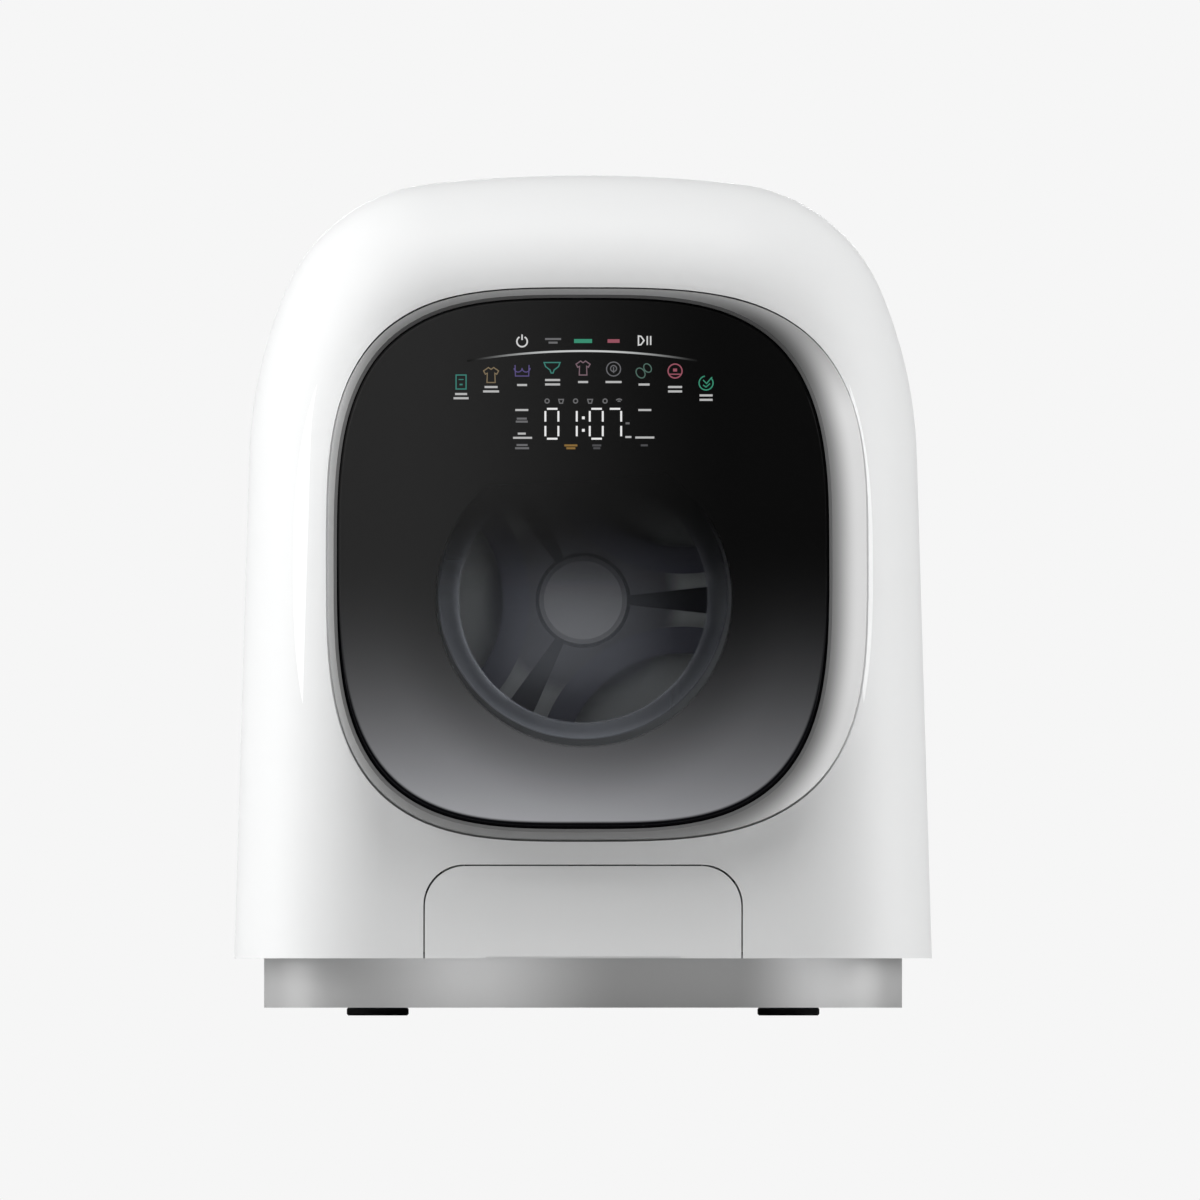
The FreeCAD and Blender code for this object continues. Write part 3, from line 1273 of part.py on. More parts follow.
def make_hinge():
    reach, ear = v.hinge_length / 2, v.hinge_ear
    x, n = v.hinge_x, -v.hinge_sink
    floor = -v.pocket_depth
    plate = door_block((x - v.hinge_plate_left, x + v.hinge_plate_right),
                       (floor, floor + v.hinge_plate_thick), (-reach - ear, reach + ear))
    ears = []
    for side in (-1, 1):
        low, high = sorted((side * reach, side * (reach + ear)))
        ears.append(door_block((x - v.hinge_ear_half, x + v.hinge_ear_half), (floor, n), (low, high)))
        ears.append(door_post(v.knuckle_radius, low, high, x, n))
    holes = [door_post(v.pin_radius, -2 * reach, 2 * reach, x, n)]
    holes += [door_rod(v.screw_radius + v.screw_fit, floor - 1, floor + v.hinge_plate_thick + 1,
                       x + v.hinge_plate_right / 2, side * v.hinge_screw_rise) for side in (-1, 1)]
    solid_feature("hinge_bracket", plate.fuse(ears).cut(holes), door_placement)
    solid_feature("hinge_pin", door_post(v.pin_radius, -reach - ear, reach + ear, x, n), door_placement)
    back = v.door_back + v.liner_thick
    knuckle = door_post(v.knuckle_radius, -reach + v.run_gap, reach - v.run_gap, x, n)
    leaf = door_block((x, x + v.hinge_leaf), (n, n + v.hinge_leaf_thick),
                      (-reach + v.run_gap, reach - v.run_gap))
    side = door_block((x + v.hinge_leaf - v.hinge_leaf_thick, x + v.hinge_leaf),
                      (back, n + v.hinge_leaf_thick), (-reach + v.run_gap, reach - v.run_gap))
    foot = door_block((x + v.hinge_leaf - v.hinge_leaf_thick, x + v.hinge_leaf + v.hinge_foot),
                      (back, back + v.hinge_leaf_thick), (-reach + v.run_gap, reach - v.run_gap))
    arm = knuckle.fuse([leaf, side, foot]).cut(door_post(v.pin_radius + v.pin_fit, -reach, reach, x, n))
    solid_feature("hinge_arm", arm, door_placement)


def make_lock():
    x, half = v.lock_x, v.striker_width / 2
    back = v.door_back
    blade = door_block((x - half, x + half), (back - v.striker_reach, back + v.liner_thick),
                       (-v.striker_thick / 2, v.striker_thick / 2))
    blade = blade.cut(door_post(v.striker_hole, -v.striker_thick, v.striker_thick, x, v.bolt_n))
    foot = door_block((x - half - 2, x + half + 2), (back + v.liner_thick, back + v.liner_thick + 2),
                      (-7, 7))
    solid_feature("door_striker", blade.fuse(foot), door_placement)
    floor = -(v.pocket_depth + v.skin_wall)
    low, high = x - v.lock_width / 2 + 2, x + v.lock_width / 2 + 2
    bottom, top = -v.lock_height + 16, 16
    house = door_block((low, high), (floor - v.lock_depth, floor), (bottom, top))
    slot = door_block((x - v.striker_width, x + v.striker_width + v.striker_swing),
                      (floor - v.lock_depth + 2, floor + 1), (-v.striker_slot, v.striker_slot))
    bore = door_post(v.lock_bolt_radius + v.pin_fit, -v.striker_slot - v.lock_bolt_length
                     - v.lock_bolt_travel, v.striker_slot + v.lock_bolt_travel, x, v.bolt_n)
    solid_feature("lock_housing", house.cut([slot, bore]), door_placement)
    bolt = door_post(v.lock_bolt_radius, -v.striker_slot - v.lock_bolt_length + 0.5,
                     -v.striker_slot + 0.5, x, v.bolt_n)
    solid_feature("lock_bolt", bolt.makeFillet(0.8, [bolt.Edges[0]]), door_placement)


def make_gasket():
    """Rubber sleeve from the upright tub mouth to the leaning porthole, and the wire band of its cuff."""
    leaning = door_placement.Rotation.multVec(Vector(0, 1, 0))
    front = door_placement.multVec(Vector(0, v.pocket_depth - v.gasket_lip_thick, -v.bowl_drop))
    bore, low = v.tub_mouth + v.tub_wall, v.tub_front - v.tub_collar
    sleeve = rod_y(bore + v.gasket_wall, v.door_face, v.tub_front, 0, v.drum_height)
    sleeve = sleeve.common(Part.makeCylinder(2 * v.porthole_radius, v.porthole_radius, front, leaning))
    cuff = rod_y(bore + v.gasket_wall + v.gasket_bead, low, v.tub_front, 0, v.drum_height)
    lip = Part.makeCylinder(v.porthole_radius + v.gasket_lip, v.gasket_lip_thick, front, leaning)
    hollow = rod_y(bore, v.door_face, v.tub_front + TAIL, 0, v.drum_height)
    solid_feature("door_gasket", sleeve.fuse([cuff, lip]).cut(hollow))
    inside = bore + v.gasket_wall + v.gasket_bead
    band = rod_y(inside + v.gasket_bead, v.tub_front - 3, v.tub_front - 0.5, 0, v.drum_height)
    solid_feature("gasket_band", band.cut(rod_y(inside, low, v.tub_front + TAIL, 0, v.drum_height)))


def make_heater():
    half, height, radius = v.heater_half, v.heater_height, v.heater_radius
    back, turn = v.tub_rear_out, v.heater_front
    tube = swept([(-half, back, height), (-half, turn - half, height), (half, turn - half, height),
                  (half, back, height)], half, radius)
    plug = block((-v.heater_plug + 0.1, v.heater_plug - 0.1), (v.tub_rear_in, back + v.tub_rib),
                 (height - v.heater_plug_half + 0.1, height + v.heater_plug_half - 0.1))
    tags = [rod_y(1.5, back, back + v.tub_rib + 8, side * half, height) for side in (-1, 1)]
    solid_feature("wash_heater", tube.fuse([plug] + tags))


# ---------------------------------------------------------------- drawer and detergent tank
def make_drawer():
    front = drawer_prism(0, -v.overall_depth, v.tank_front, v.body_bottom).common(outer_form)
    lip_back = front_y(v.body_bottom) + v.recess_lip
    notch = block((-v.recess_half, v.recess_half), (-v.overall_depth, lip_back + 1),
                  (0, v.body_bottom + v.recess_height))
    scoop = block((-v.recess_half, v.recess_half), (lip_back, lip_back + v.recess_depth),
                  (0, v.body_bottom + v.recess_rise))
    scoop = scoop.makeFillet(v.recess_depth / 2, [edge for edge in scoop.Edges
                                                  if abs(edge.Vertexes[0].Y - edge.Vertexes[-1].Y) > 1
                                                  and edge.CenterOfMass.z > v.body_bottom])
    solid_feature("drawer_front", front.cut([notch, scoop]))
    half, low, top = v.tank_half_width, v.tank_bottom, v.tank_top
    wall = v.tank_wall
    tank = block((-half, half), (v.tank_front, v.tank_rear), (low, top))
    tank = tank.makeFillet(6, [edge for edge in tank.Edges if edge.CenterOfMass.y > v.tank_rear - 1
                               and abs(edge.CenterOfMass.x) > half - 1])
    hollow = block((-half + wall, half - wall), (v.tank_front + wall, v.tank_rear - wall),
                   (low + wall, top - wall))
    mouth_x, mouth_y = v.filler_width / 2, v.flap_y - 2
    mouth = block((-mouth_x, mouth_x), (mouth_y - v.filler_length, mouth_y), (top - 2 * wall, top + 1))
    dock = rod_y(v.dock_radius, v.tank_rear - 1, v.tank_rear + v.dock_length, v.dock_x, v.dock_z)
    drain = rod_y(v.dock_radius - 1.5, v.tank_rear - 2 * wall, v.tank_rear + v.dock_length + 1, v.dock_x,
                  v.dock_z)
    ear_low, ear_high = v.flap_half + v.run_gap, v.flap_half + 4
    ears = [block(sorted((side * ear_low, side * ear_high)), (v.flap_y - 3, v.flap_y + 3),
                  (top - 1, v.flap_z + 2.5)) for side in (-1, 1)]
    tank = tank.fuse([dock] + ears).cut([hollow, mouth, drain])
    tank = tank.cut(rod_x(v.flap_pin + v.pin_fit, -ear_high - 1, ear_high + 1, v.flap_y, v.flap_z))
    solid_feature("detergent_tank", tank)
    lid = block((-v.flap_half, v.flap_half), (v.flap_y - v.flap_reach, v.flap_y),
                (top + v.run_gap, top + v.run_gap + v.flap_thick))
    barrel = rod_x(v.flap_barrel, -v.flap_half, v.flap_half, v.flap_y, v.flap_z)
    pins = rod_x(v.flap_pin, -ear_high, ear_high, v.flap_y, v.flap_z)
    tab = block((-8, 8), (v.flap_y - v.flap_reach - 2, v.flap_y - v.flap_reach + 1),
                (top + v.run_gap + 1, top + v.run_gap + v.flap_thick))
    solid_feature("filler_flap", lid.fuse([barrel, pins, tab]))


def make_drawer_guide():
    inner = v.tank_half_width + v.tank_clearance
    outer = inner + v.guide_wall
    near, far = v.tank_front + v.run_gap, v.tank_rear + v.guide_beyond
    tray = block((-outer, outer), (near, far), (v.pan_top, v.pan_top + v.guide_height))
    tray = tray.cut(block((-inner, inner), (near - 1, far + 1),
                          (v.pan_top + v.guide_wall, v.pan_top + v.guide_height + 1)))
    solid_feature("drawer_guide", tray)


def make_dosing_pump():
    near, far = v.tank_rear + v.run_gap, v.tank_rear + v.run_gap + v.dosing_length
    low, high = v.pan_top + v.guide_wall, v.tank_top - 6
    house = block((v.dock_x - v.dosing_half, v.dock_x + v.dosing_half), (near, far), (low, high))
    house = house.makeFillet(5, [edge for edge in house.Edges if abs(edge.CenterOfMass.z - high) < 1])
    bore = rod_y(v.dock_radius + v.pin_fit, near - 1, near + v.dock_length + 1, v.dock_x, v.dock_z)
    outlet = rod_z(v.dosing_hose_radius + 2, high - 1, high + 8, v.dock_x, v.dosing_y)
    socket = rod_z(v.dosing_hose_radius + v.bolt_fit, high + 1, high + 9, v.dock_x, v.dosing_y)
    solid_feature("dosing_pump", house.fuse(outlet).cut([bore, socket]))
    tube = rod_z(v.dosing_hose_radius, high + 1, v.dosing_socket + 7, v.dock_x, v.dosing_y)
    solid_feature("dosing_hose",
                  tube.cut(rod_z(v.dosing_hose_radius - v.thin_hose_wall, high, v.tank_top + 60, v.dock_x,
                                 v.dosing_y)))


# ---------------------------------------------------------------- pump, valve and hoses
def make_drain_pump():
    x, y, z = v.pump_x, v.pump_y, v.pump_height
    low, high = x - v.volute_width / 2, x + v.volute_width / 2
    wall, radius = v.volute_wall, v.volute_radius
    house = rod_x(radius, low, high, y, z)
    inlet = rod_x(v.hose_radius + 3, low - v.pump_stub, low + 1, y, z)
    outlet = rod_y(v.hose_radius + 3, y, y + radius + v.pump_stub, x, v.outlet_height)
    foot = block((low, high), (y - radius, y + radius), (v.pan_top, z))
    house = house.fuse([inlet, outlet.common(block((low, high), (0, 2 * v.back_plane), (0, 2 * z))),
                        foot])
    house = house.cut([rod_x(radius - wall, low + wall, high - wall, y, z),
                       rod_x(v.hose_radius + v.bolt_fit, low - v.pump_stub - 1, low - 1, y, z),
                       rod_x(v.hose_radius - v.hose_wall, low - 2, low + wall + 1, y, z),
                       rod_y(v.hose_radius + v.bolt_fit, y + radius + 1, y + radius + v.pump_stub + 1, x,
                             v.outlet_height),
                       rod_y(v.hose_radius - v.hose_wall, y, y + radius + 2, x, v.outlet_height),
                       rod_x(v.impeller_shaft + v.pin_fit, high - wall - 1, high + 1, y, z)])
    solid_feature("drain_pump", house)
    motor = rod_x(v.pump_motor_radius, high, high + v.pump_motor_length, y, z)
    cap = rod_x(v.pump_motor_radius - 7, high + v.pump_motor_length, high + v.pump_motor_length + 5, y, z)
    shaft_hole = rod_x(v.impeller_shaft + v.pin_fit, high - 1, high + v.impeller_hold, y, z)
    solid_feature("pump_motor", motor.fuse(cap).cut(shaft_hole))
    disc_low, disc_high = high - wall - v.run_gap - 3, high - wall - v.run_gap
    wheel = rod_x(v.impeller_radius, disc_low, disc_high, y, z)
    wheel = wheel.fuse([rod_x(5, low + wall + 2, disc_high, y, z),
                        rod_x(v.impeller_shaft, disc_high, high + v.impeller_hold - 1, y, z)])
    blades = []
    for step in range(6):
        blade = block((low + wall + 2, disc_low + 0.5), (3, v.impeller_radius - 1), (-1, 1))
        blade.rotate(Vector(), Vector(1, 0, 0), 60 * step)
        blade.translate(Vector(0, y, z))
        blades.append(blade)
    solid_feature("pump_impeller", wheel.fuse(blades))


def make_hoses():
    x, y, z = v.pump_x, v.pump_y, v.pump_height
    stub = x - v.volute_width / 2 - v.pump_stub
    solid_feature("sump_hose",
                  hose([(0, y, v.spout_end + v.seated), (0, y, z), (stub + v.pump_stub - 1, y, z)],
                       v.sump_bend, v.hose_radius, v.hose_radius - v.hose_wall))
    near = y + v.volute_radius + 1
    tube = rod_y(v.hose_radius, near, v.tray_floor - v.spigot_flange, x, v.outlet_height)
    bore = rod_y(v.hose_radius - v.hose_wall, near - 1, v.tray_floor, x, v.outlet_height)
    solid_feature("drain_hose", tube.cut(bore))
    spigot = turned("drain_spigot", [
        ("hose_radius - hose_wall", "tray_floor - spigot_flange"),
        ("spigot_radius + 4", "tray_floor - spigot_flange"), ("spigot_radius + 4", "tray_floor"),
        ("spigot_radius + stub_collar", "tray_floor"),
        ("spigot_radius + stub_collar", "tray_floor + tray_wall + stub_step"),
        ("spigot_radius", "tray_floor + tray_wall + stub_step"),
        ("spigot_radius", "tray_floor + stub_length - 1"),
        ("spigot_radius - 1", "tray_floor + stub_length"),
        ("hose_radius - hose_wall", "tray_floor + stub_length")], x="pump_x", z="outlet_height")
    keep(spigot)
    half = v.valve_size / 2
    low, high = v.valve_height - half, v.valve_height + half
    body = block((v.valve_x - half, v.valve_x + half), (v.tray_floor - v.valve_depth, v.tray_floor),
                 (low, high))
    body = body.makeFillet(3,
                           [edge for edge in body.Edges
                            if abs(edge.Vertexes[0].Y - edge.Vertexes[-1].Y) > 1])
    inlet = rod_y(v.inlet_radius, v.tray_floor - 1, v.tray_floor + v.stub_length, v.valve_x,
                  v.valve_height)
    inlet = inlet.fuse(rod_y(v.inlet_radius + v.stub_collar, v.tray_floor - 1, v.tray_floor + v.tray_wall
                             + v.stub_step, v.valve_x, v.valve_height))
    side = rod_x(v.fill_hose_radius + 2, v.valve_x - half - v.valve_stub, v.valve_x - half + 1, v.valve_y,
                 v.valve_height)
    body = body.fuse([inlet, side])
    body = body.cut([rod_y(v.inlet_radius - 3, v.tray_floor + 2, v.tray_floor + v.stub_length + 1,
                           v.valve_x, v.valve_height),
                     rod_x(v.fill_hose_radius + v.bolt_fit, v.valve_x - half - v.valve_stub - 1,
                           v.valve_x - half - 1, v.valve_y, v.valve_height)])
    coil = rod_y(v.coil_radius, v.tray_floor - v.valve_depth - v.coil_length,
                 v.tray_floor - v.valve_depth, v.valve_x, v.valve_height)
    core = rod_y(4, v.tray_floor - v.valve_depth - v.coil_length - 3, v.tray_floor - v.valve_depth
                 - v.coil_length, v.valve_x, v.valve_height)
    solid_feature("inlet_valve", body.fuse([coil, core]))
    solid_feature("inlet_hose", hose([(v.valve_x - half - 2, v.valve_y, v.valve_height),
                                      (v.fill_hose_x, v.valve_y, v.valve_height),
                                      (v.fill_hose_x, v.valve_y, v.fill_height),
                                      (v.fill_hose_x, v.tub_rear_out + 2, v.fill_height)],
                                     v.fill_bend, v.fill_hose_radius, v.fill_hose_radius - 2))
    keep(turned("cable_gland", [
        ("0", "tray_floor - 6"), ("gland_radius + 3", "tray_floor - 6"),
        ("gland_radius + 3", "tray_floor"), ("gland_radius", "tray_floor"),
        ("gland_radius", "tray_floor + tray_wall"), ("gland_radius + 2", "tray_floor + tray_wall"),
        ("gland_radius + 2", "tray_floor + tray_wall + 5"),
        ("gland_radius - 2", "tray_floor + tray_wall + 12"), ("3.4", "tray_floor + tray_wall + 12"),
        ("3.4", "tray_floor - 4"), ("0", "tray_floor - 4")], x="gland_x", z="valve_height"))


# ---------------------------------------------------------------- electronics
def make_electronics():
    low, high = v.board_box_bottom, v.board_box_bottom + v.board_box_height
    near, far = v.frame_front - v.board_length, v.frame_front
    left, right = v.board_x - v.board_width / 2, v.board_x + v.board_width / 2
    wall = v.board_wall
    shroud = block((left, right), (near, far), (low, high))
    flange = block((left - 7, right + 7), (far - wall, far), (low, high))
    hollow = block((left + wall, right - wall), (near + wall, far + 1), (low + wall, high - wall))
    posts = [rod_z(3, low + wall - 0.5, low + v.board_rise, x, y)
             for x in (left + 9, right - 9) for y in (near + 9, far - 14)]
    solid_feature("board_box", shroud.fuse(flange).cut(hollow).fuse(posts))
    top = low + v.board_rise + v.board_thick
    board = block((left + wall + 0.5, right - wall - 0.5), (near + wall + 0.5, far - 1),
                  (low + v.board_rise, top))
    parts = []
    for row in range(BOARD_ROWS):
        for column in range(BOARD_COLUMNS):
            x = left + v.part_inset + column * v.part_pitch_wide
            y = near + v.part_inset + row * v.part_pitch_long
            high = top + v.part_height - (row + column) * v.part_step
            parts.append(block((x, x + v.part_width), (y, y + v.part_length), (top, high)))
    solid_feature("control_board", board.fuse(parts))


# ---------------------------------------------------------------- the whole machine
for make in (make_front_shell, make_plinth, make_base_pan, make_rear_frame, make_rear_cover,
             make_service_tray, make_case_screws, make_tub_front, make_tub_rear, make_tub_fittings,
             make_bearings, make_motor, make_drum, make_door_frame, make_door_glass, make_door_liner,
             make_door_bowl, make_display, make_hinge, make_lock, make_gasket, make_heater, make_drawer,
             make_drawer_guide, make_dosing_pump, make_drain_pump, make_hoses, make_electronics):
    make()
doc.recompute()

for item in doc.Objects:
    assert "Invalid" not in item.State and "Error" not in item.State, item.Label
os.makedirs("parts", exist_ok=True)
for node in nodes:
    assert not node.Shape.isNull() and node.Shape.isValid(), node.Label
    node.Shape.exportStep(f"parts/{node.Label}.step")
print(len(nodes), "pieces written")
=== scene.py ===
import math
import bpy
import numpy as np
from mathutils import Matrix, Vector


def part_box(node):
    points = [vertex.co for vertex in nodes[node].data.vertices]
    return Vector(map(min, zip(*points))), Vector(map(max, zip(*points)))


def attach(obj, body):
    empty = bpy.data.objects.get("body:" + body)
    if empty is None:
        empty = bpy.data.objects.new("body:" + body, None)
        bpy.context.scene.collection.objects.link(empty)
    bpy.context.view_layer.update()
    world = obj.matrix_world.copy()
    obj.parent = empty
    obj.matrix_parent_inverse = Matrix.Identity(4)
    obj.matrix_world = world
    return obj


# Looks of a wall mounted mini washing machine. Metres, +Z up, the door faces -Y.
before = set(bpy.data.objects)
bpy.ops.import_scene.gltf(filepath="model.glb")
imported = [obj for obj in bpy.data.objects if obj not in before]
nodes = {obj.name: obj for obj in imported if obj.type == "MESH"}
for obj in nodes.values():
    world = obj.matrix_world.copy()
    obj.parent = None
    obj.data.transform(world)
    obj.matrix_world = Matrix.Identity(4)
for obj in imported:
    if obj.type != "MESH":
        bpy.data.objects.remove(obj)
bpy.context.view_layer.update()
print("frame loaded:", len(nodes), "nodes")

mm = 0.001
doorLean = math.radians(6)
doorFace = -127.865 * mm     # y of the door plane at the middle of the door
doorMiddle = 290.5 * mm      # its height
glassLift = 22.06 * mm       # just in front of the glass, measured from the door plane
leanSine, leanCosine = math.sin(doorLean), math.cos(doorLean)


# Mesh helpers
def onGlass(across, height):
    # a point of the front view laid on the leaning glass, so its height stays as given
    up = (height - doorMiddle - glassLift * leanSine) / leanCosine
    y = doorFace - glassLift * leanCosine + up * leanSine
    return np.stack([across, y, height], -1)


def makeMesh(name, points, faces, material, body=None, smooth=False):
    mesh = bpy.data.meshes.new(name)
    mesh.from_pydata(np.asarray(points, float).reshape(-1, 3).tolist(), [],
                     [list(map(int, f)) for f in faces])
    mesh.validate()
    mesh.polygons.foreach_set("use_smooth", [smooth] * len(mesh.polygons))
    mesh.materials.append(material)
    piece = bpy.data.objects.new(name, mesh)
    bpy.context.scene.collection.objects.link(piece)
    if body:
        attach(piece, body)
    return piece


# Material helpers
def link(tree, source, target):
    tree.links.new(source, target)


def newMaterial(name, color=(0.8, 0.8, 0.8), roughness=0.5, metallic=0.0, specular=0.5):
    material = bpy.data.materials.new(name)
    material.use_nodes = True
    tree = material.node_tree
    shader = tree.nodes["Principled BSDF"]
    shader.inputs["Base Color"].default_value = (*color, 1)
    shader.inputs["Roughness"].default_value = roughness
    shader.inputs["Metallic"].default_value = metallic
    shader.inputs["Specular IOR Level"].default_value = specular
    return material, tree, shader


def makeNode(tree, kind, **settings):
    node = tree.nodes.new(kind)
    for key, value in settings.items():
        setattr(node, key, value)
    return node


def feed(tree, socket, value):
    if isinstance(value, (int, float)):
        socket.default_value = value
    else:
        link(tree, value, socket)


def mathNode(tree, operation, first, second=None):
    node = makeNode(tree, "ShaderNodeMath", operation=operation)
    feed(tree, node.inputs[0], first)
    if second is not None:
        feed(tree, node.inputs[1], second)
    return node.outputs[0]


def smoothRange(tree, value, low, high, start=0.0, end=1.0):
    node = makeNode(tree, "ShaderNodeMapRange", interpolation_type="SMOOTHSTEP")
    for key, entry in (("Value", value), ("From Min", low), ("From Max", high), ("To Min", start),
                       ("To Max", end)):
        feed(tree, node.inputs[key], entry)
    return node.outputs["Result"]


def mixColor(tree, factor, first, second):
    node = makeNode(tree, "ShaderNodeMix", data_type="RGBA")
    feed(tree, node.inputs[0], factor)
    for key, color in (("A", first), ("B", second)):
        socket = next(entry for entry in node.inputs if entry.name == key and entry.type == "RGBA")
        if isinstance(color, tuple):
            socket.default_value = (*color, 1)
        else:
            link(tree, color, socket)
    return next(entry for entry in node.outputs if entry.type == "RGBA")


def objectAxes(tree):
    place = makeNode(tree, "ShaderNodeTexCoord")
    split = makeNode(tree, "ShaderNodeSeparateXYZ")
    link(tree, place.outputs["Object"], split.inputs[0])
    return place.outputs["Object"], split.outputs


def distanceFrom(tree, across, up, middleX, middleZ):
    # distance in the front view from a point
    x = mathNode(tree, "SUBTRACT", across, middleX)
    z = mathNode(tree, "SUBTRACT", up, middleZ)
    squares = mathNode(tree, "ADD", mathNode(tree, "MULTIPLY", x, x), mathNode(tree, "MULTIPLY", z, z))
    return mathNode(tree, "SQRT", squares)


def newGroup(name, sockets):
    group = bpy.data.node_groups.new(name, "ShaderNodeTree")
    for label, kind, direction in sockets:
        group.interface.new_socket(name=label, in_out=direction, socket_type=kind)
    return group, makeNode(group, "NodeGroupInput"), makeNode(group, "NodeGroupOutput")


def makeGrainGroup():
    # fine noise that lifts the surface a little and varies its roughness
    group, inside, outside = newGroup("surfaceGrain", (
        ("Vector", "NodeSocketVector", "INPUT"), ("Scale", "NodeSocketFloat", "INPUT"),
        ("Rough Low", "NodeSocketFloat", "INPUT"), ("Rough High", "NodeSocketFloat", "INPUT"),
        ("Height", "NodeSocketFloat", "OUTPUT"), ("Roughness", "NodeSocketFloat", "OUTPUT")))
    noise = makeNode(group, "ShaderNodeTexNoise")
    noise.inputs["Detail"].default_value = 3
    link(group, inside.outputs["Vector"], noise.inputs["Vector"])
    link(group, inside.outputs["Scale"], noise.inputs["Scale"])
    spread = makeNode(group, "ShaderNodeMapRange")
    link(group, noise.outputs["Fac"], spread.inputs["Value"])
    link(group, inside.outputs["Rough Low"], spread.inputs["To Min"])
    link(group, inside.outputs["Rough High"], spread.inputs["To Max"])
    link(group, noise.outputs["Fac"], outside.inputs["Height"])
    link(group, spread.outputs["Result"], outside.inputs["Roughness"])
    return group


glassOutline = {"halfWidth": 157 * mm, "halfHeight": 170.25 * mm, "drop": 4.4 * mm, "power": 3.25}


def makeEdgeGroup():
    # signed distance from the glass outline, positive outside it. With r the soft rectangle's norm
    # (|x/a|^p + |v/b|^p)^(1/p), a point at reach s from the middle lies s - s/r beyond the outline.
    group, inside, outside = newGroup("glassEdge", (
        ("Vector", "NodeSocketVector", "INPUT"), ("Distance", "NodeSocketFloat", "OUTPUT")))
    split = makeNode(group, "ShaderNodeSeparateXYZ")
    link(group, inside.outputs["Vector"], split.inputs[0])
    x, y, z = split.outputs
    depth = mathNode(group, "MULTIPLY", mathNode(group, "SUBTRACT", y, doorFace), leanSine)
    rise = mathNode(group, "MULTIPLY", mathNode(group, "SUBTRACT", z, doorMiddle), leanCosine)
    up = mathNode(group, "ADD", mathNode(group, "ADD", depth, rise), glassOutline["drop"])
    parts = []
    for value, half in ((x, glassOutline["halfWidth"]), (up, glassOutline["halfHeight"])):
        share = mathNode(group, "DIVIDE", mathNode(group, "ABSOLUTE", value), half)
        parts.append(mathNode(group, "POWER", share, glassOutline["power"]))
    norm = mathNode(group, "POWER", mathNode(group, "ADD", *parts), 1 / glassOutline["power"])
    reach = distanceFrom(group, x, up, 0.0, 0.0)
    link(group, mathNode(group, "SUBTRACT", reach, mathNode(group, "DIVIDE", reach, norm)),
         outside.inputs["Distance"])
    return group


grainGroup = makeGrainGroup()
edgeGroup = makeEdgeGroup()


def edgeDistance(tree, vector):
    node = makeNode(tree, "ShaderNodeGroup", node_tree=edgeGroup)
    link(tree, vector, node.inputs["Vector"])
    return node.outputs["Distance"]


def addGrain(tree, shader, roughness, scale, bump, stretch=None, height=None):
    # grain on a shader's roughness and normal; height is an extra relief in millimetres
    vector, _ = objectAxes(tree)
    if stretch:
        mapping = makeNode(tree, "ShaderNodeMapping")
        mapping.inputs["Scale"].default_value = stretch
        link(tree, vector, mapping.inputs["Vector"])
        vector = mapping.outputs["Vector"]
    grain = makeNode(tree, "ShaderNodeGroup", node_tree=grainGroup)
    link(tree, vector, grain.inputs["Vector"])
    grain.inputs["Scale"].default_value = scale
    grain.inputs["Rough Low"].default_value, grain.inputs["Rough High"].default_value = roughness
    lift = makeNode(tree, "ShaderNodeBump")
    lift.inputs["Strength"].default_value = 0.5
    lift.inputs["Distance"].default_value = bump
    link(tree, grain.outputs["Height"], lift.inputs["Height"])
    normal = lift.outputs["Normal"]
    if height is not None:
        relief = makeNode(tree, "ShaderNodeBump")
        relief.inputs["Strength"].default_value = 1.0
        relief.inputs["Distance"].default_value = mm
        link(tree, height, relief.inputs["Height"])
        link(tree, normal, relief.inputs["Normal"])
        normal = relief.outputs["Normal"]
    link(tree, grain.outputs["Roughness"], shader.inputs["Roughness"])
    link(tree, normal, shader.inputs["Normal"])


def grainy(name, color, roughness=(0.4, 0.5), scale=900.0, bump=0.00002, stretch=None, **settings):
    # plain moulded or brushed surface: noise in object space, stretched along one axis where brushed
    material, tree, shader = newMaterial(name, color, sum(roughness) / 2, **settings)
    addGrain(tree, shader, roughness, scale, bump, stretch)
    return material


# White shell
shellLook = {"white": (0.835, 0.84, 0.84), "roughness": (0.42, 0.5), "grain": 1400,
             "pocketGlow": 0.20, "pocketStart": 16 * mm, "pocketEnd": 60 * mm, "pocketReach": 28 * mm}


def makeShell():
    # white plastic; a faint glow in the door's pocket stands for light that its close walls share
    material, tree, shader = newMaterial("whiteShell", shellLook["white"], specular=0.3)
    vector, axes = objectAxes(tree)
    lean = mathNode(tree, "MULTIPLY", mathNode(tree, "SUBTRACT", axes[2], doorMiddle), math.tan(doorLean))
    depth = mathNode(tree, "SUBTRACT", mathNode(tree, "SUBTRACT", axes[1], doorFace), lean)
    deep = mathNode(tree, "GREATER_THAN", depth, shellLook["pocketStart"])
    near = mathNode(tree, "LESS_THAN", edgeDistance(tree, vector), shellLook["pocketReach"])
    ahead = mathNode(tree, "LESS_THAN", depth, shellLook["pocketEnd"])
    glow = mathNode(tree, "MULTIPLY", mathNode(tree, "MULTIPLY", deep, near), ahead)
    link(tree, mixColor(tree, glow, (0, 0, 0), shellLook["white"]), shader.inputs["Emission Color"])
    shader.inputs["Emission Strength"].default_value = shellLook["pocketGlow"]
    addGrain(tree, shader, shellLook["roughness"], shellLook["grain"], 0.000008)
    return material


whiteShell = makeShell()

# Brushed plinth band with painted highlights
plinthLook = {
    "halfWidth": 203 * mm,
    "roughness": (0.30, 0.52),
    "tone": (0.48, 0.48, 0.48), "paintedHighlightColor": (0.95, 0.95, 0.95),
    "leftPaintedHighlight": (0.33, 0.24), "rightPaintedHighlight": (0.86, 0.12),     # painted highlights: middle and reach, as shares of the width
}


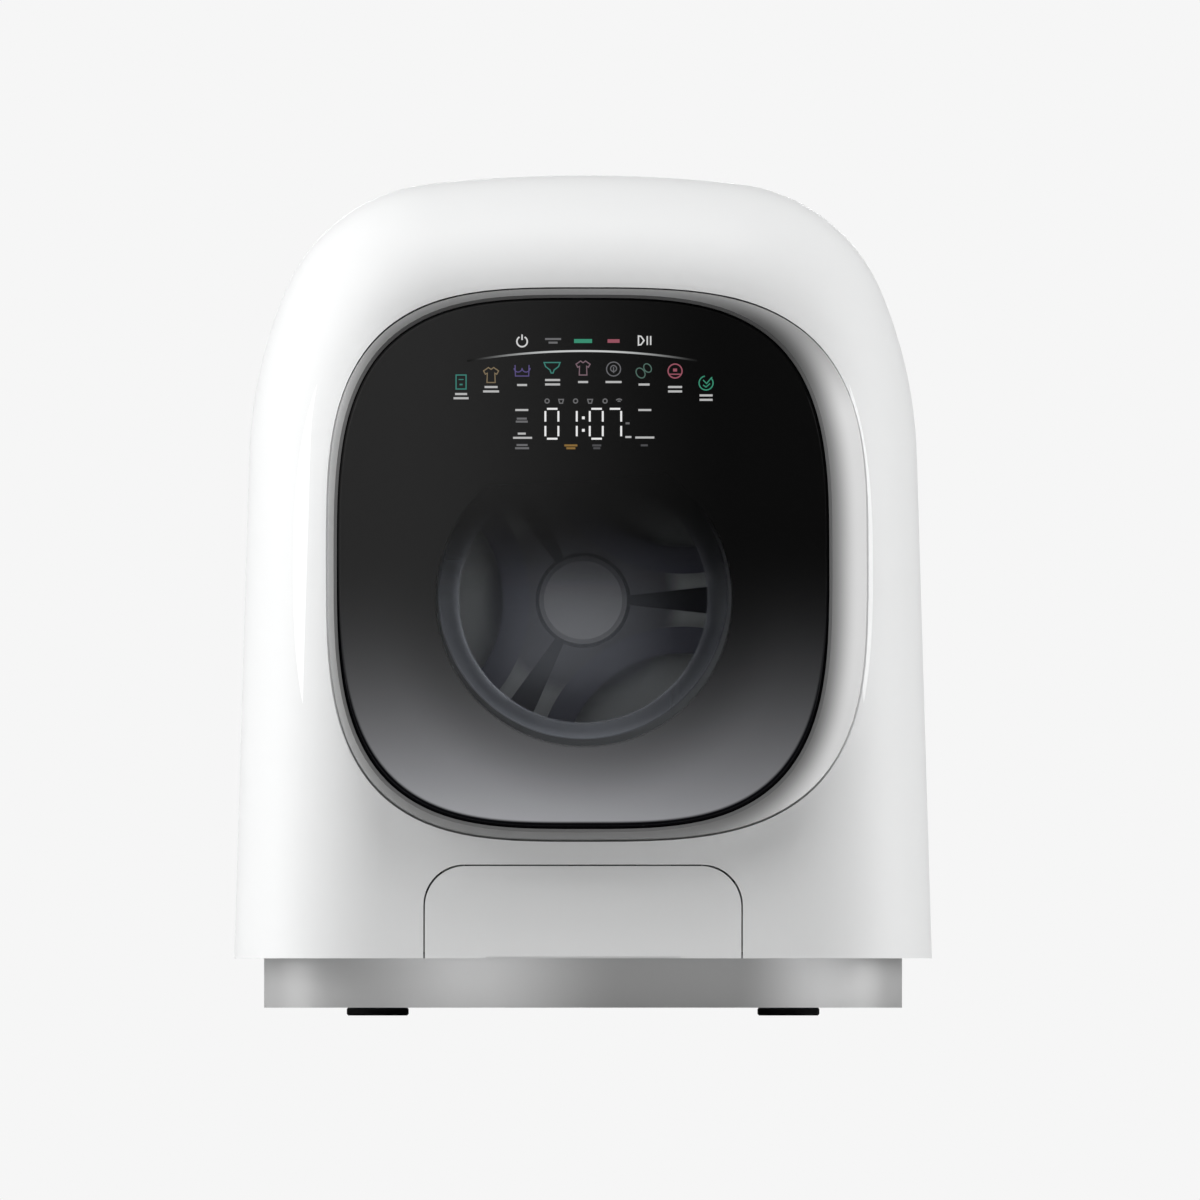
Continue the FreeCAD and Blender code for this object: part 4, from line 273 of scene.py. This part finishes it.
def makeBrushed():
    # satin silver with two broad painted highlights in its base colour, and brushing along it
    material, tree, shader = newMaterial("brushedBandPaintedHighlights", metallic=0.12, specular=0.3)
    _, axes = objectAxes(tree)
    half = plinthLook["halfWidth"]
    across = mathNode(tree, "DIVIDE", mathNode(tree, "ADD", axes[0], half), 2 * half)
    paintedHighlights = []
    for key in ("leftPaintedHighlight", "rightPaintedHighlight"):
        middle, reach = plinthLook[key]
        away = mathNode(tree, "ABSOLUTE", mathNode(tree, "SUBTRACT", across, middle))
        paintedHighlights.append(smoothRange(tree, away, 0.0, reach, 1.0, 0.0))
    paintedHighlight = mathNode(tree, "MAXIMUM", *paintedHighlights)
    link(tree, mixColor(tree, paintedHighlight, plinthLook["tone"], plinthLook["paintedHighlightColor"]),
         shader.inputs["Base Color"])
    addGrain(tree, shader, plinthLook["roughness"], 60, 0.00002, stretch=(1, 1, 90))
    return material


brushedBandPaintedHighlights = makeBrushed()

# Door glass
glassLook = {
    "left": 0.029, "right": 0.0045,            # painted sheen that fades from left to right
    "paintedSheenLeft": -120 * mm, "paintedSheenRight": 95 * mm,
    "paintedReflectionGrey": (0.485, 0.490, 0.515),           # colour of the painted reflection at the foot of the glass
    "fadeTop": 316 * mm, "fadeLow": 121 * mm, "fadePower": 3.0,
    "middle": (0.6 * mm, 266 * mm),            # middle of the clear window
    "window": 94.5 * mm, "windowEdge": 1.2 * mm,
    "clear": 0.04,                             # how much the clear window still covers
    "clearLow": 262 * mm, "clearTop": 352 * mm,
    "paintedShade": 0.62, "paintedShadeReach": 42 * mm,      # painted shade: darker around the window
    # the far side share is a painted shade that darkens the right of the glass
    "paintedShadeRight": 0.82, "print": (0.003, 0.003, 0.004),
    "band": 4.4 * mm, "bandSoft": 1 * mm, "bandTop": 330 * mm, "bandLow": 150 * mm,
}


def makeDoorGlass():
    # tinted glass with a painted reflection, dark above and silver grey below, painted shade around the
    # window and a painted sheen from the left;
    # clear inside a circle, with a black printed edge. The painted reflection = ((fadeTop - z) / (fadeTop
    # - fadeLow)) to the power fadePower
    look = glassLook
    material, tree, shader = newMaterial("doorGlass", roughness=0.12, specular=0.1)
    vector, axes = objectAxes(tree)
    drop = mathNode(tree, "DIVIDE", mathNode(tree, "SUBTRACT", look["fadeTop"], axes[2]),
                    look["fadeTop"] - look["fadeLow"])
    paintedReflection = mathNode(tree, "POWER", mathNode(tree, "MAXIMUM", drop, 0.0), look["fadePower"])
    reach = distanceFrom(tree, axes[0], axes[2], *look["middle"])
    paintedShade = smoothRange(tree, reach, look["window"], look["window"] + look["paintedShadeReach"], look["paintedShade"],
                        1.0)
    # painted shade and painted sheen: the glass lighter to the left, darker to the right
    side = smoothRange(tree, axes[0], look["paintedSheenLeft"], look["paintedSheenRight"], 1.0, look["paintedShadeRight"])
    paintedReflection = mathNode(tree, "MULTIPLY", mathNode(tree, "MULTIPLY", paintedReflection, paintedShade), side)
    paintedSheen = smoothRange(tree, axes[0], look["paintedSheenLeft"], look["paintedSheenRight"], look["left"], look["right"])
    base = makeNode(tree, "ShaderNodeCombineColor")
    for index in range(3):
        scaled = mathNode(tree, "MULTIPLY", paintedReflection, look["paintedReflectionGrey"][index])
        link(tree, mathNode(tree, "ADD", scaled, paintedSheen), base.inputs[index])
    distance = edgeDistance(tree, vector)
    width = smoothRange(tree, axes[2], look["bandTop"], look["bandLow"], 0.0, -look["band"])
    inside = smoothRange(tree, distance, mathNode(tree, "SUBTRACT", width, look["bandSoft"]),
                         mathNode(tree, "ADD", width, look["bandSoft"]))
    link(tree, mixColor(tree, inside, base.outputs["Color"], look["print"]), shader.inputs["Base Color"])
    fog = smoothRange(tree, axes[2], look["clearLow"], look["clearTop"], look["clear"], 1.0)
    edge = look["windowEdge"]
    outer = smoothRange(tree, reach, look["window"] - edge, look["window"] + edge)
    link(tree, mathNode(tree, "MAXIMUM", fog, outer), shader.inputs["Alpha"])
    return material


doorGlass = makeDoorGlass()

# Door frame: satin, with painted shade: darker beside the glass, where it rises steeply, and towards its
# top
frameLook = {
    "roughness": (0.26, 0.34), "reach": 24 * mm,
    "deep": (0.16, 0.16, 0.16), "pale": (0.76, 0.76, 0.76), "riseFrom": 0.05, "riseTo": 0.8,
    "topPaintedShade": 0.44, "topFrom": 380 * mm, "topTo": 440 * mm,
}


def makeDoorFrame():
    material, tree, shader = newMaterial("doorFrame", specular=0.12)
    vector, axes = objectAxes(tree)
    along = mathNode(tree, "DIVIDE", edgeDistance(tree, vector), frameLook["reach"])
    # painted shade: the frame darker towards its top
    dim = smoothRange(tree, axes[2], frameLook["topFrom"], frameLook["topTo"], 1.0, frameLook["topPaintedShade"])
    # painted shade: the frame darkest next to the glass, paler outwards
    rise = smoothRange(tree, along, frameLook["riseFrom"], frameLook["riseTo"])
    paintedShade = mixColor(tree, rise, frameLook["deep"], frameLook["pale"])
    link(tree, mixColor(tree, dim, (0.0, 0.0, 0.0), paintedShade), shader.inputs["Base Color"])
    addGrain(tree, shader, frameLook["roughness"], 1400, 0.000006)
    return material


doorFrame = makeDoorFrame()

# Glass bowl: clear floor, smoky slanting side with a painted reflection
bowlLook = {"middle": (0, 266 * mm), "floor": 79.5 * mm, "clear": 0.03, "side": 0.72,
            "low": (0.47, 0.50, 0.56), "high": (0.012, 0.012, 0.015), "fadeTop": 340 * mm,
            "fadeLow": 212 * mm, "edge": 1 * mm, "leanFrom": -20 * mm, "leanTo": 80 * mm,
            "paintedReflectionRight": 0.32}


def makeBowlGlass():
    material, tree, shader = newMaterial("bowlGlass", roughness=0.06, specular=0.25)
    _, axes = objectAxes(tree)
    reach = distanceFrom(tree, axes[0], axes[2], *bowlLook["middle"])
    side = smoothRange(tree, reach, bowlLook["floor"] - bowlLook["edge"],
                       bowlLook["floor"] + bowlLook["edge"], bowlLook["clear"], bowlLook["side"])
    link(tree, side, shader.inputs["Alpha"])
    # painted reflection: pale low and to the left, near black above and to the right
    level = smoothRange(tree, axes[2], bowlLook["fadeTop"], bowlLook["fadeLow"])
    lean = smoothRange(tree, axes[0], bowlLook["leanFrom"], bowlLook["leanTo"], 1.0,
                       bowlLook["paintedReflectionRight"])
    color = mixColor(tree, mathNode(tree, "MULTIPLY", level, lean), bowlLook["high"], bowlLook["low"])
    link(tree, color, shader.inputs["Base Color"])
    return material


bowlGlass = makeBowlGlass()

# Drum: perforated steel, dark raised arms and a painted shade in the groove around the hub
drumLook = {
    "axis": (0, 265 * mm), "steel": (0.062, 0.062, 0.072), "outer": (0.27, 0.285, 0.29),
    "arm": (0.004, 0.004, 0.006), "outerFrom": 52 * mm, "outerTo": 66 * mm, "hole": (0.01, 0.01, 0.012),
    "cell": 9 * mm, "holeRadius": 1.5 * mm, "grooveIn": 27.4 * mm, "grooveOut": 30.3 * mm,
    # the hub's colours at its top and foot are painted shade and painted light
    "hubPaintedShadeTop": (0.095, 0.095, 0.105), "hubPaintedLightLow": (0.30, 0.305, 0.32), "hubHalf": 25 * mm,
    "vane": (0.032, 0.033, 0.050), "lip": 14 * mm, "wall": (0.50, 0.51, 0.53), "wallCells": 15,
    "holesFrom": 96 * mm, "armLift": 0.4 * mm, "rowStep": 0.866, "holeDepth": -0.5, }


def holeMask(tree, first, second, cell, radius):
    # round dots, one in each cell of a grid; rows lie half the root of three cells apart,
    # and every other one is shifted by half a cell
    row = mathNode(tree, "DIVIDE", second, cell * drumLook["rowStep"])
    shift = mathNode(tree, "MULTIPLY", mathNode(tree, "FLOORED_MODULO", mathNode(tree, "FLOOR", row),
                                                2.0), 0.5)
    column = mathNode(tree, "ADD", mathNode(tree, "DIVIDE", first, cell), shift)
    x = mathNode(tree, "MULTIPLY", mathNode(tree, "SUBTRACT", mathNode(tree, "FRACT", column), 0.5), cell)
    z = mathNode(tree, "MULTIPLY", mathNode(tree, "SUBTRACT", mathNode(tree, "FRACT", row), 0.5),
                 cell * drumLook["rowStep"])
    reach = distanceFrom(tree, x, z, 0.0, 0.0)
    return smoothRange(tree, reach, radius * 0.8, radius, 1.0, 0.0)


def makeDrumWall():
    # holes wrapped around the wall: angle about the axis times the radius, against the depth
    # the wall's radius is 15 cells, and its lip has no holes
    material, tree, shader = newMaterial("drumWall", metallic=0.75)
    _, axes = objectAxes(tree)
    up = mathNode(tree, "SUBTRACT", axes[2], drumLook["axis"][1])
    angle = mathNode(tree, "ARCTAN2", up, axes[0])
    around = mathNode(tree, "MULTIPLY", angle, drumLook["wallCells"] * drumLook["cell"])
    hole = holeMask(tree, around, axes[1], drumLook["cell"], drumLook["holeRadius"])
    behindLip = mathNode(tree, "GREATER_THAN", axes[1], drumLook["front"] + drumLook["lip"])
    hole = mathNode(tree, "MULTIPLY", hole, behindLip)
    link(tree, mixColor(tree, hole, drumLook["wall"], drumLook["hole"]), shader.inputs["Base Color"])
    addGrain(tree, shader, (0.28, 0.42), 500, 0.00001,
             height=mathNode(tree, "MULTIPLY", hole, drumLook["holeDepth"]))
    return material


def makeDrumBack():
    # plate with rings of holes, a painted shade in the groove around the hub and dark arms that stand in
    # front of the plate
    material, tree, shader = newMaterial("drumBack", metallic=0.1, specular=0.12)
    _, axes = objectAxes(tree)
    plate = drumLook["plate"]
    reach = distanceFrom(tree, axes[0], axes[2], *drumLook["axis"])
    arm = mathNode(tree, "LESS_THAN", axes[1], plate - drumLook["armLift"])
    paintedGrooveShade = mathNode(tree, "MULTIPLY", mathNode(tree, "GREATER_THAN", reach, drumLook["grooveIn"]),
                      mathNode(tree, "LESS_THAN", reach, drumLook["grooveOut"]))
    armsAndGrooveShade = mathNode(tree, "MAXIMUM", arm, paintedGrooveShade)
    hole = holeMask(tree, axes[0], axes[2], drumLook["cell"], drumLook["holeRadius"])
    rim = mathNode(tree, "GREATER_THAN", reach, drumLook["holesFrom"])
    hole = mathNode(tree, "MULTIPLY", hole, rim)
    outer = smoothRange(tree, reach, drumLook["outerFrom"], drumLook["outerTo"])
    steel = mixColor(tree, outer, drumLook["steel"], drumLook["outer"])
    color = mixColor(tree, armsAndGrooveShade, steel, drumLook["arm"])
    link(tree, mixColor(tree, hole, color, drumLook["hole"]), shader.inputs["Base Color"])
    addGrain(tree, shader, (0.3, 0.45), 500, 0.00001,
             height=mathNode(tree, "MULTIPLY", hole, drumLook["holeDepth"]))
    return material


drumLook["plate"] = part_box("drum_lifters")[1][1]
drumLook["front"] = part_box("drum_shell")[0][1]
drumWall = makeDrumWall()
drumBack = makeDrumBack()
vaneDark = grainy("vaneDark", drumLook["vane"], (0.25, 0.4), scale=500, bump=0.00002, specular=0.4)


def makeHub():
    # satin cap with painted shade, darker towards its top
    material, tree, shader = newMaterial("hubGrey", specular=0.3)
    _, axes = objectAxes(tree)
    middle, half = drumLook["axis"][1], drumLook["hubHalf"]
    level = smoothRange(tree, axes[2], middle - half, middle + half)
    link(tree, mixColor(tree, level, drumLook["hubPaintedLightLow"], drumLook["hubPaintedShadeTop"]), shader.inputs["Base Color"])
    addGrain(tree, shader, (0.35, 0.5), 900, 0.00001)
    return material


hubGrey = makeHub()

# Plastics, metals and rubber of the inner pieces
greyPlastic = grainy("greyPlastic", (0.16, 0.17, 0.18), (0.45, 0.6), scale=1500, bump=0.00003)
darkPlastic = grainy("darkPlastic", (0.02, 0.021, 0.023), (0.35, 0.5), scale=1500, bump=0.00002)
tubPlastic = grainy("tubPlastic", (0.48, 0.49, 0.49), (0.45, 0.6), scale=1100, bump=0.00004)
tankPlastic = grainy("tankPlastic", (0.62, 0.66, 0.68), (0.35, 0.45), scale=1100, bump=0.00002)
zincSteel = grainy("zincSteel", (0.55, 0.57, 0.59), (0.35, 0.6), scale=260, bump=0.00003, metallic=0.85)
plainSteel = grainy("plainSteel", (0.55, 0.56, 0.57), (0.28, 0.42), scale=900, bump=0.00001, metallic=1.0)
statorIron = grainy("statorIron", (0.10, 0.10, 0.11), (0.45, 0.65), scale=60, bump=0.00005,
                    stretch=(1, 40, 1), metallic=0.6)
copperWire = grainy("copperWire", (0.58, 0.24, 0.10), (0.25, 0.4), scale=60, bump=0.0002,
                    stretch=(1, 1, 40), metallic=1.0)
blackRubber = grainy("blackRubber", (0.012, 0.012, 0.013), (0.6, 0.8), scale=1200, bump=0.00006)
greyRubber = grainy("greyRubber", (0.10, 0.105, 0.11), (0.5, 0.65), scale=1200, bump=0.00004)
boardGreen = grainy("boardGreen", (0.015, 0.10, 0.05), (0.3, 0.5), scale=500, bump=0.00002)
backWhite = grainy("backWhite", (0.62, 0.63, 0.64), (0.45, 0.6), scale=900, bump=0.00004)

looks = {
    "front_shell": whiteShell, "drawer_front": whiteShell, "rear_cover": backWhite,
    "rear_frame": backWhite, "service_tray": greyPlastic, "door_frame": doorFrame,
    "door_glass": doorGlass, "door_bowl": bowlGlass, "plinth_band": brushedBandPaintedHighlights, "drum_shell": drumWall,
    "drum_back": drumBack, "drum_lifters": vaneDark, "hub_cap": hubGrey, "tub_front": tubPlastic,
    "tub_rear": tubPlastic, "drain_pump": tubPlastic, "dosing_pump": tubPlastic,
    "detergent_tank": tankPlastic, "filler_flap": tankPlastic, "pump_impeller": darkPlastic,
    "cable_gland": darkPlastic, "rotor_cup": zincSteel, "hinge_bracket": zincSteel,
    "hinge_arm": zincSteel, "door_striker": zincSteel, "stator_core": statorIron,
    "rotor_magnets": statorIron, "stator_coils": copperWire, "control_board": boardGreen,
    "display_board": boardGreen, }
for name in ("rubber_feet", "tub_seal", "shaft_seal", "tub_isolators"):
    looks[name] = blackRubber
for name in ("door_gasket", "sump_hose", "drain_hose", "dosing_hose", "inlet_hose"):
    looks[name] = greyRubber
for name in ("hinge_pin", "lock_bolt", "case_screws", "door_screws", "stator_screws", "isolator_bolts",
             "rotor_bolt", "bearings", "wash_heater", "gasket_band", "drum_shaft", "pump_motor"):
    looks[name] = plainSteel
for name, node in nodes.items():
    node.data.materials.clear()
    node.data.materials.append(looks.get(name, greyPlastic))
print("materials assigned")


# Display: thin lit marks on the glass, drawn in steps of a front view grid and laid on the glass
grid = {"step": 0.638 * mm, "middle": 583, "floor": 1015.5}
unlit = (0.004, 0.004, 0.004)
arcLook = {"color": (0.55, 0.56, 0.56), "fadeFrom": 12 * mm, "fadeTo": 74 * mm}
displayLook = {
    "digits": (0.80, 0.80, 0.80), "keys": (0.62, 0.62, 0.62), "labels": (0.46, 0.46, 0.46),
    "dim": (0.14, 0.14, 0.145), "faint": (0.07, 0.07, 0.075),
    "teal": (0.045, 0.20, 0.165), "green": (0.04, 0.26, 0.16), "tan": (0.20, 0.155, 0.095),
    "violet": (0.095, 0.075, 0.20), "rose": (0.19, 0.125, 0.15), "grey": (0.13, 0.13, 0.14),
    "moss": (0.075, 0.14, 0.115), "red": (0.30, 0.085, 0.115), "amber": (0.24, 0.14, 0.04),
}
strokes = {key: [] for key in displayLook}


def dash(key, points, width=1.2, closed=False):
    # a ribbon of even width along a line of points
    strokes[key].append((np.asarray(points, float), width, closed))


def bar(key, x, y, wide, tall=2.2):
    dash(key, [(x - wide / 2, y), (x + wide / 2, y)], tall)


def arcPoints(x, y, radius, start=0.0, end=360.0, steps=24, squash=1.0, turn=0.0):
    # x + r cos a, y - r sin a; squash narrows the circle to an oval whose long axis is turned
    angles = np.radians(np.linspace(start, end, steps + 1))
    across, rise = radius * squash * np.cos(angles), radius * np.sin(angles)
    lean = math.radians(turn)
    return np.stack([x + across * math.cos(lean) + rise * math.sin(lean),
                     y + across * math.sin(lean) - rise * math.cos(lean)], -1)


def ring(key, x, y, radius, width=1.1, **settings):
    dash(key, arcPoints(x, y, radius, **settings)[:-1], width, closed=True)


def polyline(key, x, y, offsets, width=1.1, closed=False):
    dash(key, np.asarray(offsets, float) + (x, y), width, closed)


def ribbon(points, width, closed):
    # each point moves half the width along the mitre between its two neighbouring edges
    if closed:
        before, after = np.roll(points, 1, 0), np.roll(points, -1, 0)
    else:
        before = np.concatenate([2 * points[:1] - points[1:2], points[:-1]])
        after = np.concatenate([points[1:], 2 * points[-1:] - points[-2:-1]])
    first, second = points - before, after - points
    first /= np.linalg.norm(first, axis=1, keepdims=True)
    second /= np.linalg.norm(second, axis=1, keepdims=True)
    normal = np.stack([-(first + second)[:, 1], (first + second)[:, 0]], -1)
    normal /= np.linalg.norm(normal, axis=1, keepdims=True)
    straight = np.stack([-first[:, 1], first[:, 0]], -1)
    spread = np.minimum(1 / np.maximum(np.sum(normal * straight, 1), 0.4), 1.8)[:, None] * width / 2
    return points + normal * spread, points - normal * spread


def addStrokes(name, entries, material):
    corners, faces = [], []
    for points, width, closed in entries:
        left, right = ribbon(points, width, closed)
        start, count = len(corners), len(points)
        corners.extend(np.concatenate([left, right]))
        for step in range(count if closed else count - 1):
            after = (step + 1) % count
            faces.append((start + step, start + count + step, start + count + after, start + after))
    flat = np.asarray(corners)
    across = (flat[:, 0] - grid["middle"]) * grid["step"]
    height = (grid["floor"] - flat[:, 1]) * grid["step"]
    piece = makeMesh(name, onGlass(across, height), faces, material, "door")
    facing = sum(face.normal.y * face.area for face in piece.data.polygons)
    if facing > 0:
        piece.data.flip_normals()
    return piece


def litMaterial(name, color, fadeFrom=None, fadeTo=None):
    # an even glow; with fadeFrom and fadeTo it dies away to both sides
    material, tree, shader = newMaterial(name, unlit, 0.4, specular=0.1)
    shader.inputs["Emission Color"].default_value = (*color, 1)
    shader.inputs["Emission Strength"].default_value = 1.0
    if fadeFrom is not None:
        _, axes = objectAxes(tree)
        away = smoothRange(tree, mathNode(tree, "ABSOLUTE", axes[0]), fadeFrom, fadeTo, 1.0, 0.0)
        link(tree, mixColor(tree, away, unlit, color), shader.inputs["Emission Color"])
    return material


def drawKeys():
    # power, three mode words as plain bars, start and pause
    dash("keys", arcPoints(522, 341.5, 5.2, 120, 420), 1.5)
    dash("keys", [(522, 334.5), (522, 340)], 1.5)
    bar("dim", 553, 339, 16, 2)
    bar("dim", 553, 342.6, 9, 2)
    bar("green", 583, 341, 18, 4)
    bar("red", 613.5, 341, 12, 3.6)
    polyline("keys", 638.4, 340.5, ((0, -4.5), (2.6, -4.1), (5.6, 0), (2.6, 4.1), (0, 4.5)), 1.4,
             closed=True)
    dash("keys", [(647.2, 336), (647.2, 345)], 1.4)
    dash("keys", [(650.6, 336), (650.6, 345)], 1.4)


def drawShirt(key, x, y, size):
    half = size / 2
    polyline(key, x, y, ((-0.35 * half, -half), (-half, -0.55 * half), (-0.75 * half, -0.1 * half),
                         (-0.5 * half, -0.25 * half), (-0.55 * half, half), (0.55 * half, half),
                         (0.5 * half, -0.25 * half), (0.75 * half, -0.1 * half), (half, -0.55 * half),
                         (0.35 * half, -half), (0, -0.75 * half)), closed=True)


def drawProgrammes():
    # nine programme pictures along the arc
    polyline("teal", 461, 382, ((-5, -7), (5, -7), (5, 7), (-5, 7)), 1.2, closed=True)
    bar("teal", 461, 379.5, 5, 1)
    bar("teal", 461, 384.5, 3, 1.6)
    drawShirt("tan", 491, 375, 15)
    polyline("violet", 522, 371, ((-7, -6), (-6.6, 5), (6.6, 5), (7, -6)))
    dash("violet", arcPoints(518, 368, 4, 180, 360), 1.1)
    dash("violet", arcPoints(526, 368, 4, 180, 360), 1.1)
    polyline("teal", 552, 367.5, ((-8, -5), (8, -5), (6.5, -1), (2, 2.5), (1, 5.5), (-1, 5.5), (-2, 2.5),
                                  (-6.5, -1)), 1.2, closed=True)
    drawShirt("rose", 583, 368, 14)
    ring("grey", 613.5, 369, 7)
    ring("grey", 613.5, 368.5, 3)
    polyline("grey", 613.5, 369, ((0, -2), (0, 4)))
    ring("moss", 640.5, 373, 5.4, squash=0.75, turn=-35)
    ring("moss", 647.5, 368, 4.6, squash=0.75, turn=-35)
    ring("red", 675, 371, 7, 1.3)
    bar("red", 675, 374.2, 12, 1.2)
    bar("red", 675, 370, 4, 3)
    dash("green", arcPoints(706, 383, 7, 100, 400), 1.2)
    polyline("green", 706, 383, ((-3, -3), (0.5, 0.5), (6, -6)), 1.1)
    polyline("green", 706, 383, ((-3, 2), (0, 4), (4, 0.5)), 1.1)
    words = ((461, (394, 398.2), 12), (491, (387, 391.4), 13), (522, (385,), 10),
             (552.5, (380, 384.4), 15), (583, (382,), 10), (613.5, (382,), 16), (644, (384.5,), 11),
             (675, (387, 391.4), 14), (706, (395.4, 399.8), 13))
    for x, rows, wide in words:
        for row, y in enumerate(rows):
            bar("labels", x, y, wide + (3 if row and x < 500 else 0), 2.1)


def drawStatus():
    # six tiny state marks above the clock
    for step, x in enumerate((547, 561, 575.5, 590, 605)):
        if step % 2:
            polyline("dim", x, 401, ((-2.4, -1.6), (2.4, -1.6), (1.4, 2.2), (-1.4, 2.2)), 1.2,
                     closed=True)
        else:
            ring("dim", x, 401, 2.1, 1.2, steps=10)
    dash("dim", arcPoints(619, 403, 4, 45, 135, steps=6), 1.3)
    dash("dim", arcPoints(619, 403, 2, 45, 135, steps=4), 1.3)


# lit segments of a clock digit: top, two upper sides, two lower sides, bottom
segmentLook = {"top": 408.8, "foot": 438.7, "width": 1.9,
               "upper": (411.0, 421.6), "lower": (425.9, 436.2)}


def drawDigit(left, right, parts):
    look = segmentLook
    width = look["width"]
    if "top" in parts:
        dash("digits", [(left + 1.6, look["top"]), (right - 0.9, look["top"])], width)
    if "foot" in parts:
        dash("digits", [(left + 1.6, look["foot"]), (right - 0.9, look["foot"])], width)
    for part, x, rows in (("leftUpper", left, "upper"), ("leftLower", left, "lower"),
                          ("rightUpper", right, "upper"), ("rightLower", right, "lower")):
        if part in parts:
            dash("digits", [(x, look[rows][0]), (x, look[rows][1])], width)


def drawClock():
    rightSide = ("rightUpper", "rightLower")
    allRound = ("top", "foot", "leftUpper", "leftLower") + rightSide
    drawDigit(545.3, 558.3, allRound)
    drawDigit(563.7, 576.7, rightSide)
    drawDigit(589.7, 602.7, allRound)
    drawDigit(608.1, 621.1, ("top",) + rightSide)
    for y in (417.8, 430.3):
        bar("digits", 583.3, y, 2.8, 2.8)


def drawSideNotes():
    # settings on both sides of the clock, as plain bars
    for x, y, wide, key in ((521.7, 410, 13, "labels"), (521.7, 418.6, 10, "dim"),
                            (521.7, 421.6, 12, "dim"), (521.7, 433.6, 8, "labels"),
                            (522.5, 437.8, 19, "labels"), (522, 445, 11, "dim"), (522, 448.2, 14, "dim"),
                            (644.7, 410, 13, "labels"), (644.7, 437.5, 19, "labels"),
                            (644.2, 445.3, 7, "faint"), (570.8, 445.4, 13, "amber"),
                            (570.8, 448.2, 9, "amber"), (596.7, 445.4, 9, "faint"),
                            (596.7, 448.2, 7, "faint"), (627.5, 423.3, 4, "dim"),
                            (628.3, 437, 6, "labels")):
        bar(key, x, y, wide, 2)


def drawArc():
    # a parabola through its top and its two ends, of even width
    across = np.linspace(-116, 114, 60)
    rise = 351 + 9.5 * (across / 113) ** 2
    return [(np.stack([583 + across, rise], -1), 1.9, False)]


drawKeys()
drawProgrammes()
drawStatus()
drawClock()
drawSideNotes()
for key, color in displayLook.items():
    addStrokes("display_" + key, strokes[key], litMaterial("lit_" + key, color))
arcMaterial = litMaterial("lit_arc", arcLook["color"], arcLook["fadeFrom"], arcLook["fadeTo"])
addStrokes("display_arc", drawArc(), arcMaterial)
print("display drawn")


# Stage, light and camera
stageLook = {
    # each lamp: watts, place, size, then its target and whether it shows in reflections
    "size": 3.0, "pixels": 1200, "camera": (0.0108, -3.0, 0.2651),
    "floor": (0.88, 0.88, 0.88), "background": 0.9216, "world": 0.08,
    "left": (27.0, (-2.0, -0.22, 0.5), (1.2, 1.6)),
    "right": (26.0, (2.0, -0.22, 0.5), (1.2, 1.6)),
    "top": (6.5, (0.0, -0.85, 1.9), (1.4, 0.8)),
    "high": (12.5, (0.0, -0.40, 2.0), (1.4, 0.6)),
    "leftTop": (10.0, (-1.5, -0.9, 1.5), (1.0, 1.0)),
    "rear": (22.0, (0.0, 2.2, 0.45), (0.8, 0.8)),
    "drum": (0.075, (0.0, -0.094, 0.265), (0.10, 0.10), (0.0, 1.0, 0.265), False),
}


def makeStage():
    material, _, _ = newMaterial("floorPale", stageLook["floor"], 0.9, specular=0.0)
    size = stageLook["size"]
    floor = makeMesh("floor", [(-size, -size, 0), (size, -size, 0), (size, size, 0), (-size, size, 0)],
                     [(0, 1, 2, 3)], material)
    world = bpy.data.worlds.new("studio")
    bpy.context.scene.world = world
    world.use_nodes = True
    tree = world.node_tree
    tree.nodes.clear()
    seen = makeNode(tree, "ShaderNodeBackground")
    seen.inputs["Color"].default_value = (stageLook["background"],) * 3 + (1,)
    light = makeNode(tree, "ShaderNodeBackground")
    light.inputs["Color"].default_value = (1, 1, 1, 1)
    light.inputs["Strength"].default_value = stageLook["world"]
    path = makeNode(tree, "ShaderNodeLightPath")
    mix = makeNode(tree, "ShaderNodeMixShader")
    out = makeNode(tree, "ShaderNodeOutputWorld")
    link(tree, path.outputs["Is Camera Ray"], mix.inputs[0])
    link(tree, light.outputs[0], mix.inputs[1])
    link(tree, seen.outputs[0], mix.inputs[2])
    link(tree, mix.outputs[0], out.inputs[0])


def addLamp(name, watts, place, size, target=(0, 0, 0.3), glossy=True):
    lamp = bpy.data.lights.new(name, "AREA")
    lamp.shape = "RECTANGLE"
    lamp.size, lamp.size_y = size
    lamp.energy = watts
    holder = bpy.data.objects.new(name, lamp)
    bpy.context.scene.collection.objects.link(holder)
    holder.location = place
    aim = Vector(target) - Vector(place)
    holder.rotation_euler = aim.to_track_quat("-Z", "Y").to_euler()
    holder.visible_camera = False
    holder.visible_glossy = glossy


def addCamera():
    camera = bpy.data.cameras.new("frontCamera")
    camera.type = "ORTHO"
    camera.ortho_scale = stageLook["pixels"] * grid["step"]
    camera.clip_start, camera.clip_end = 0.1, 50
    holder = bpy.data.objects.new("frontCamera", camera)
    bpy.context.scene.collection.objects.link(holder)
    holder.location = stageLook["camera"]
    holder.rotation_euler = (math.pi / 2, 0, 0)
    bpy.context.scene.camera = holder
    bpy.context.scene.view_settings.view_transform = "Standard"


makeStage()
for name in ("left", "right", "top", "high", "leftTop", "rear", "drum"):
    addLamp(name + "Softbox", *stageLook[name])
addCamera()

print("scene ready")
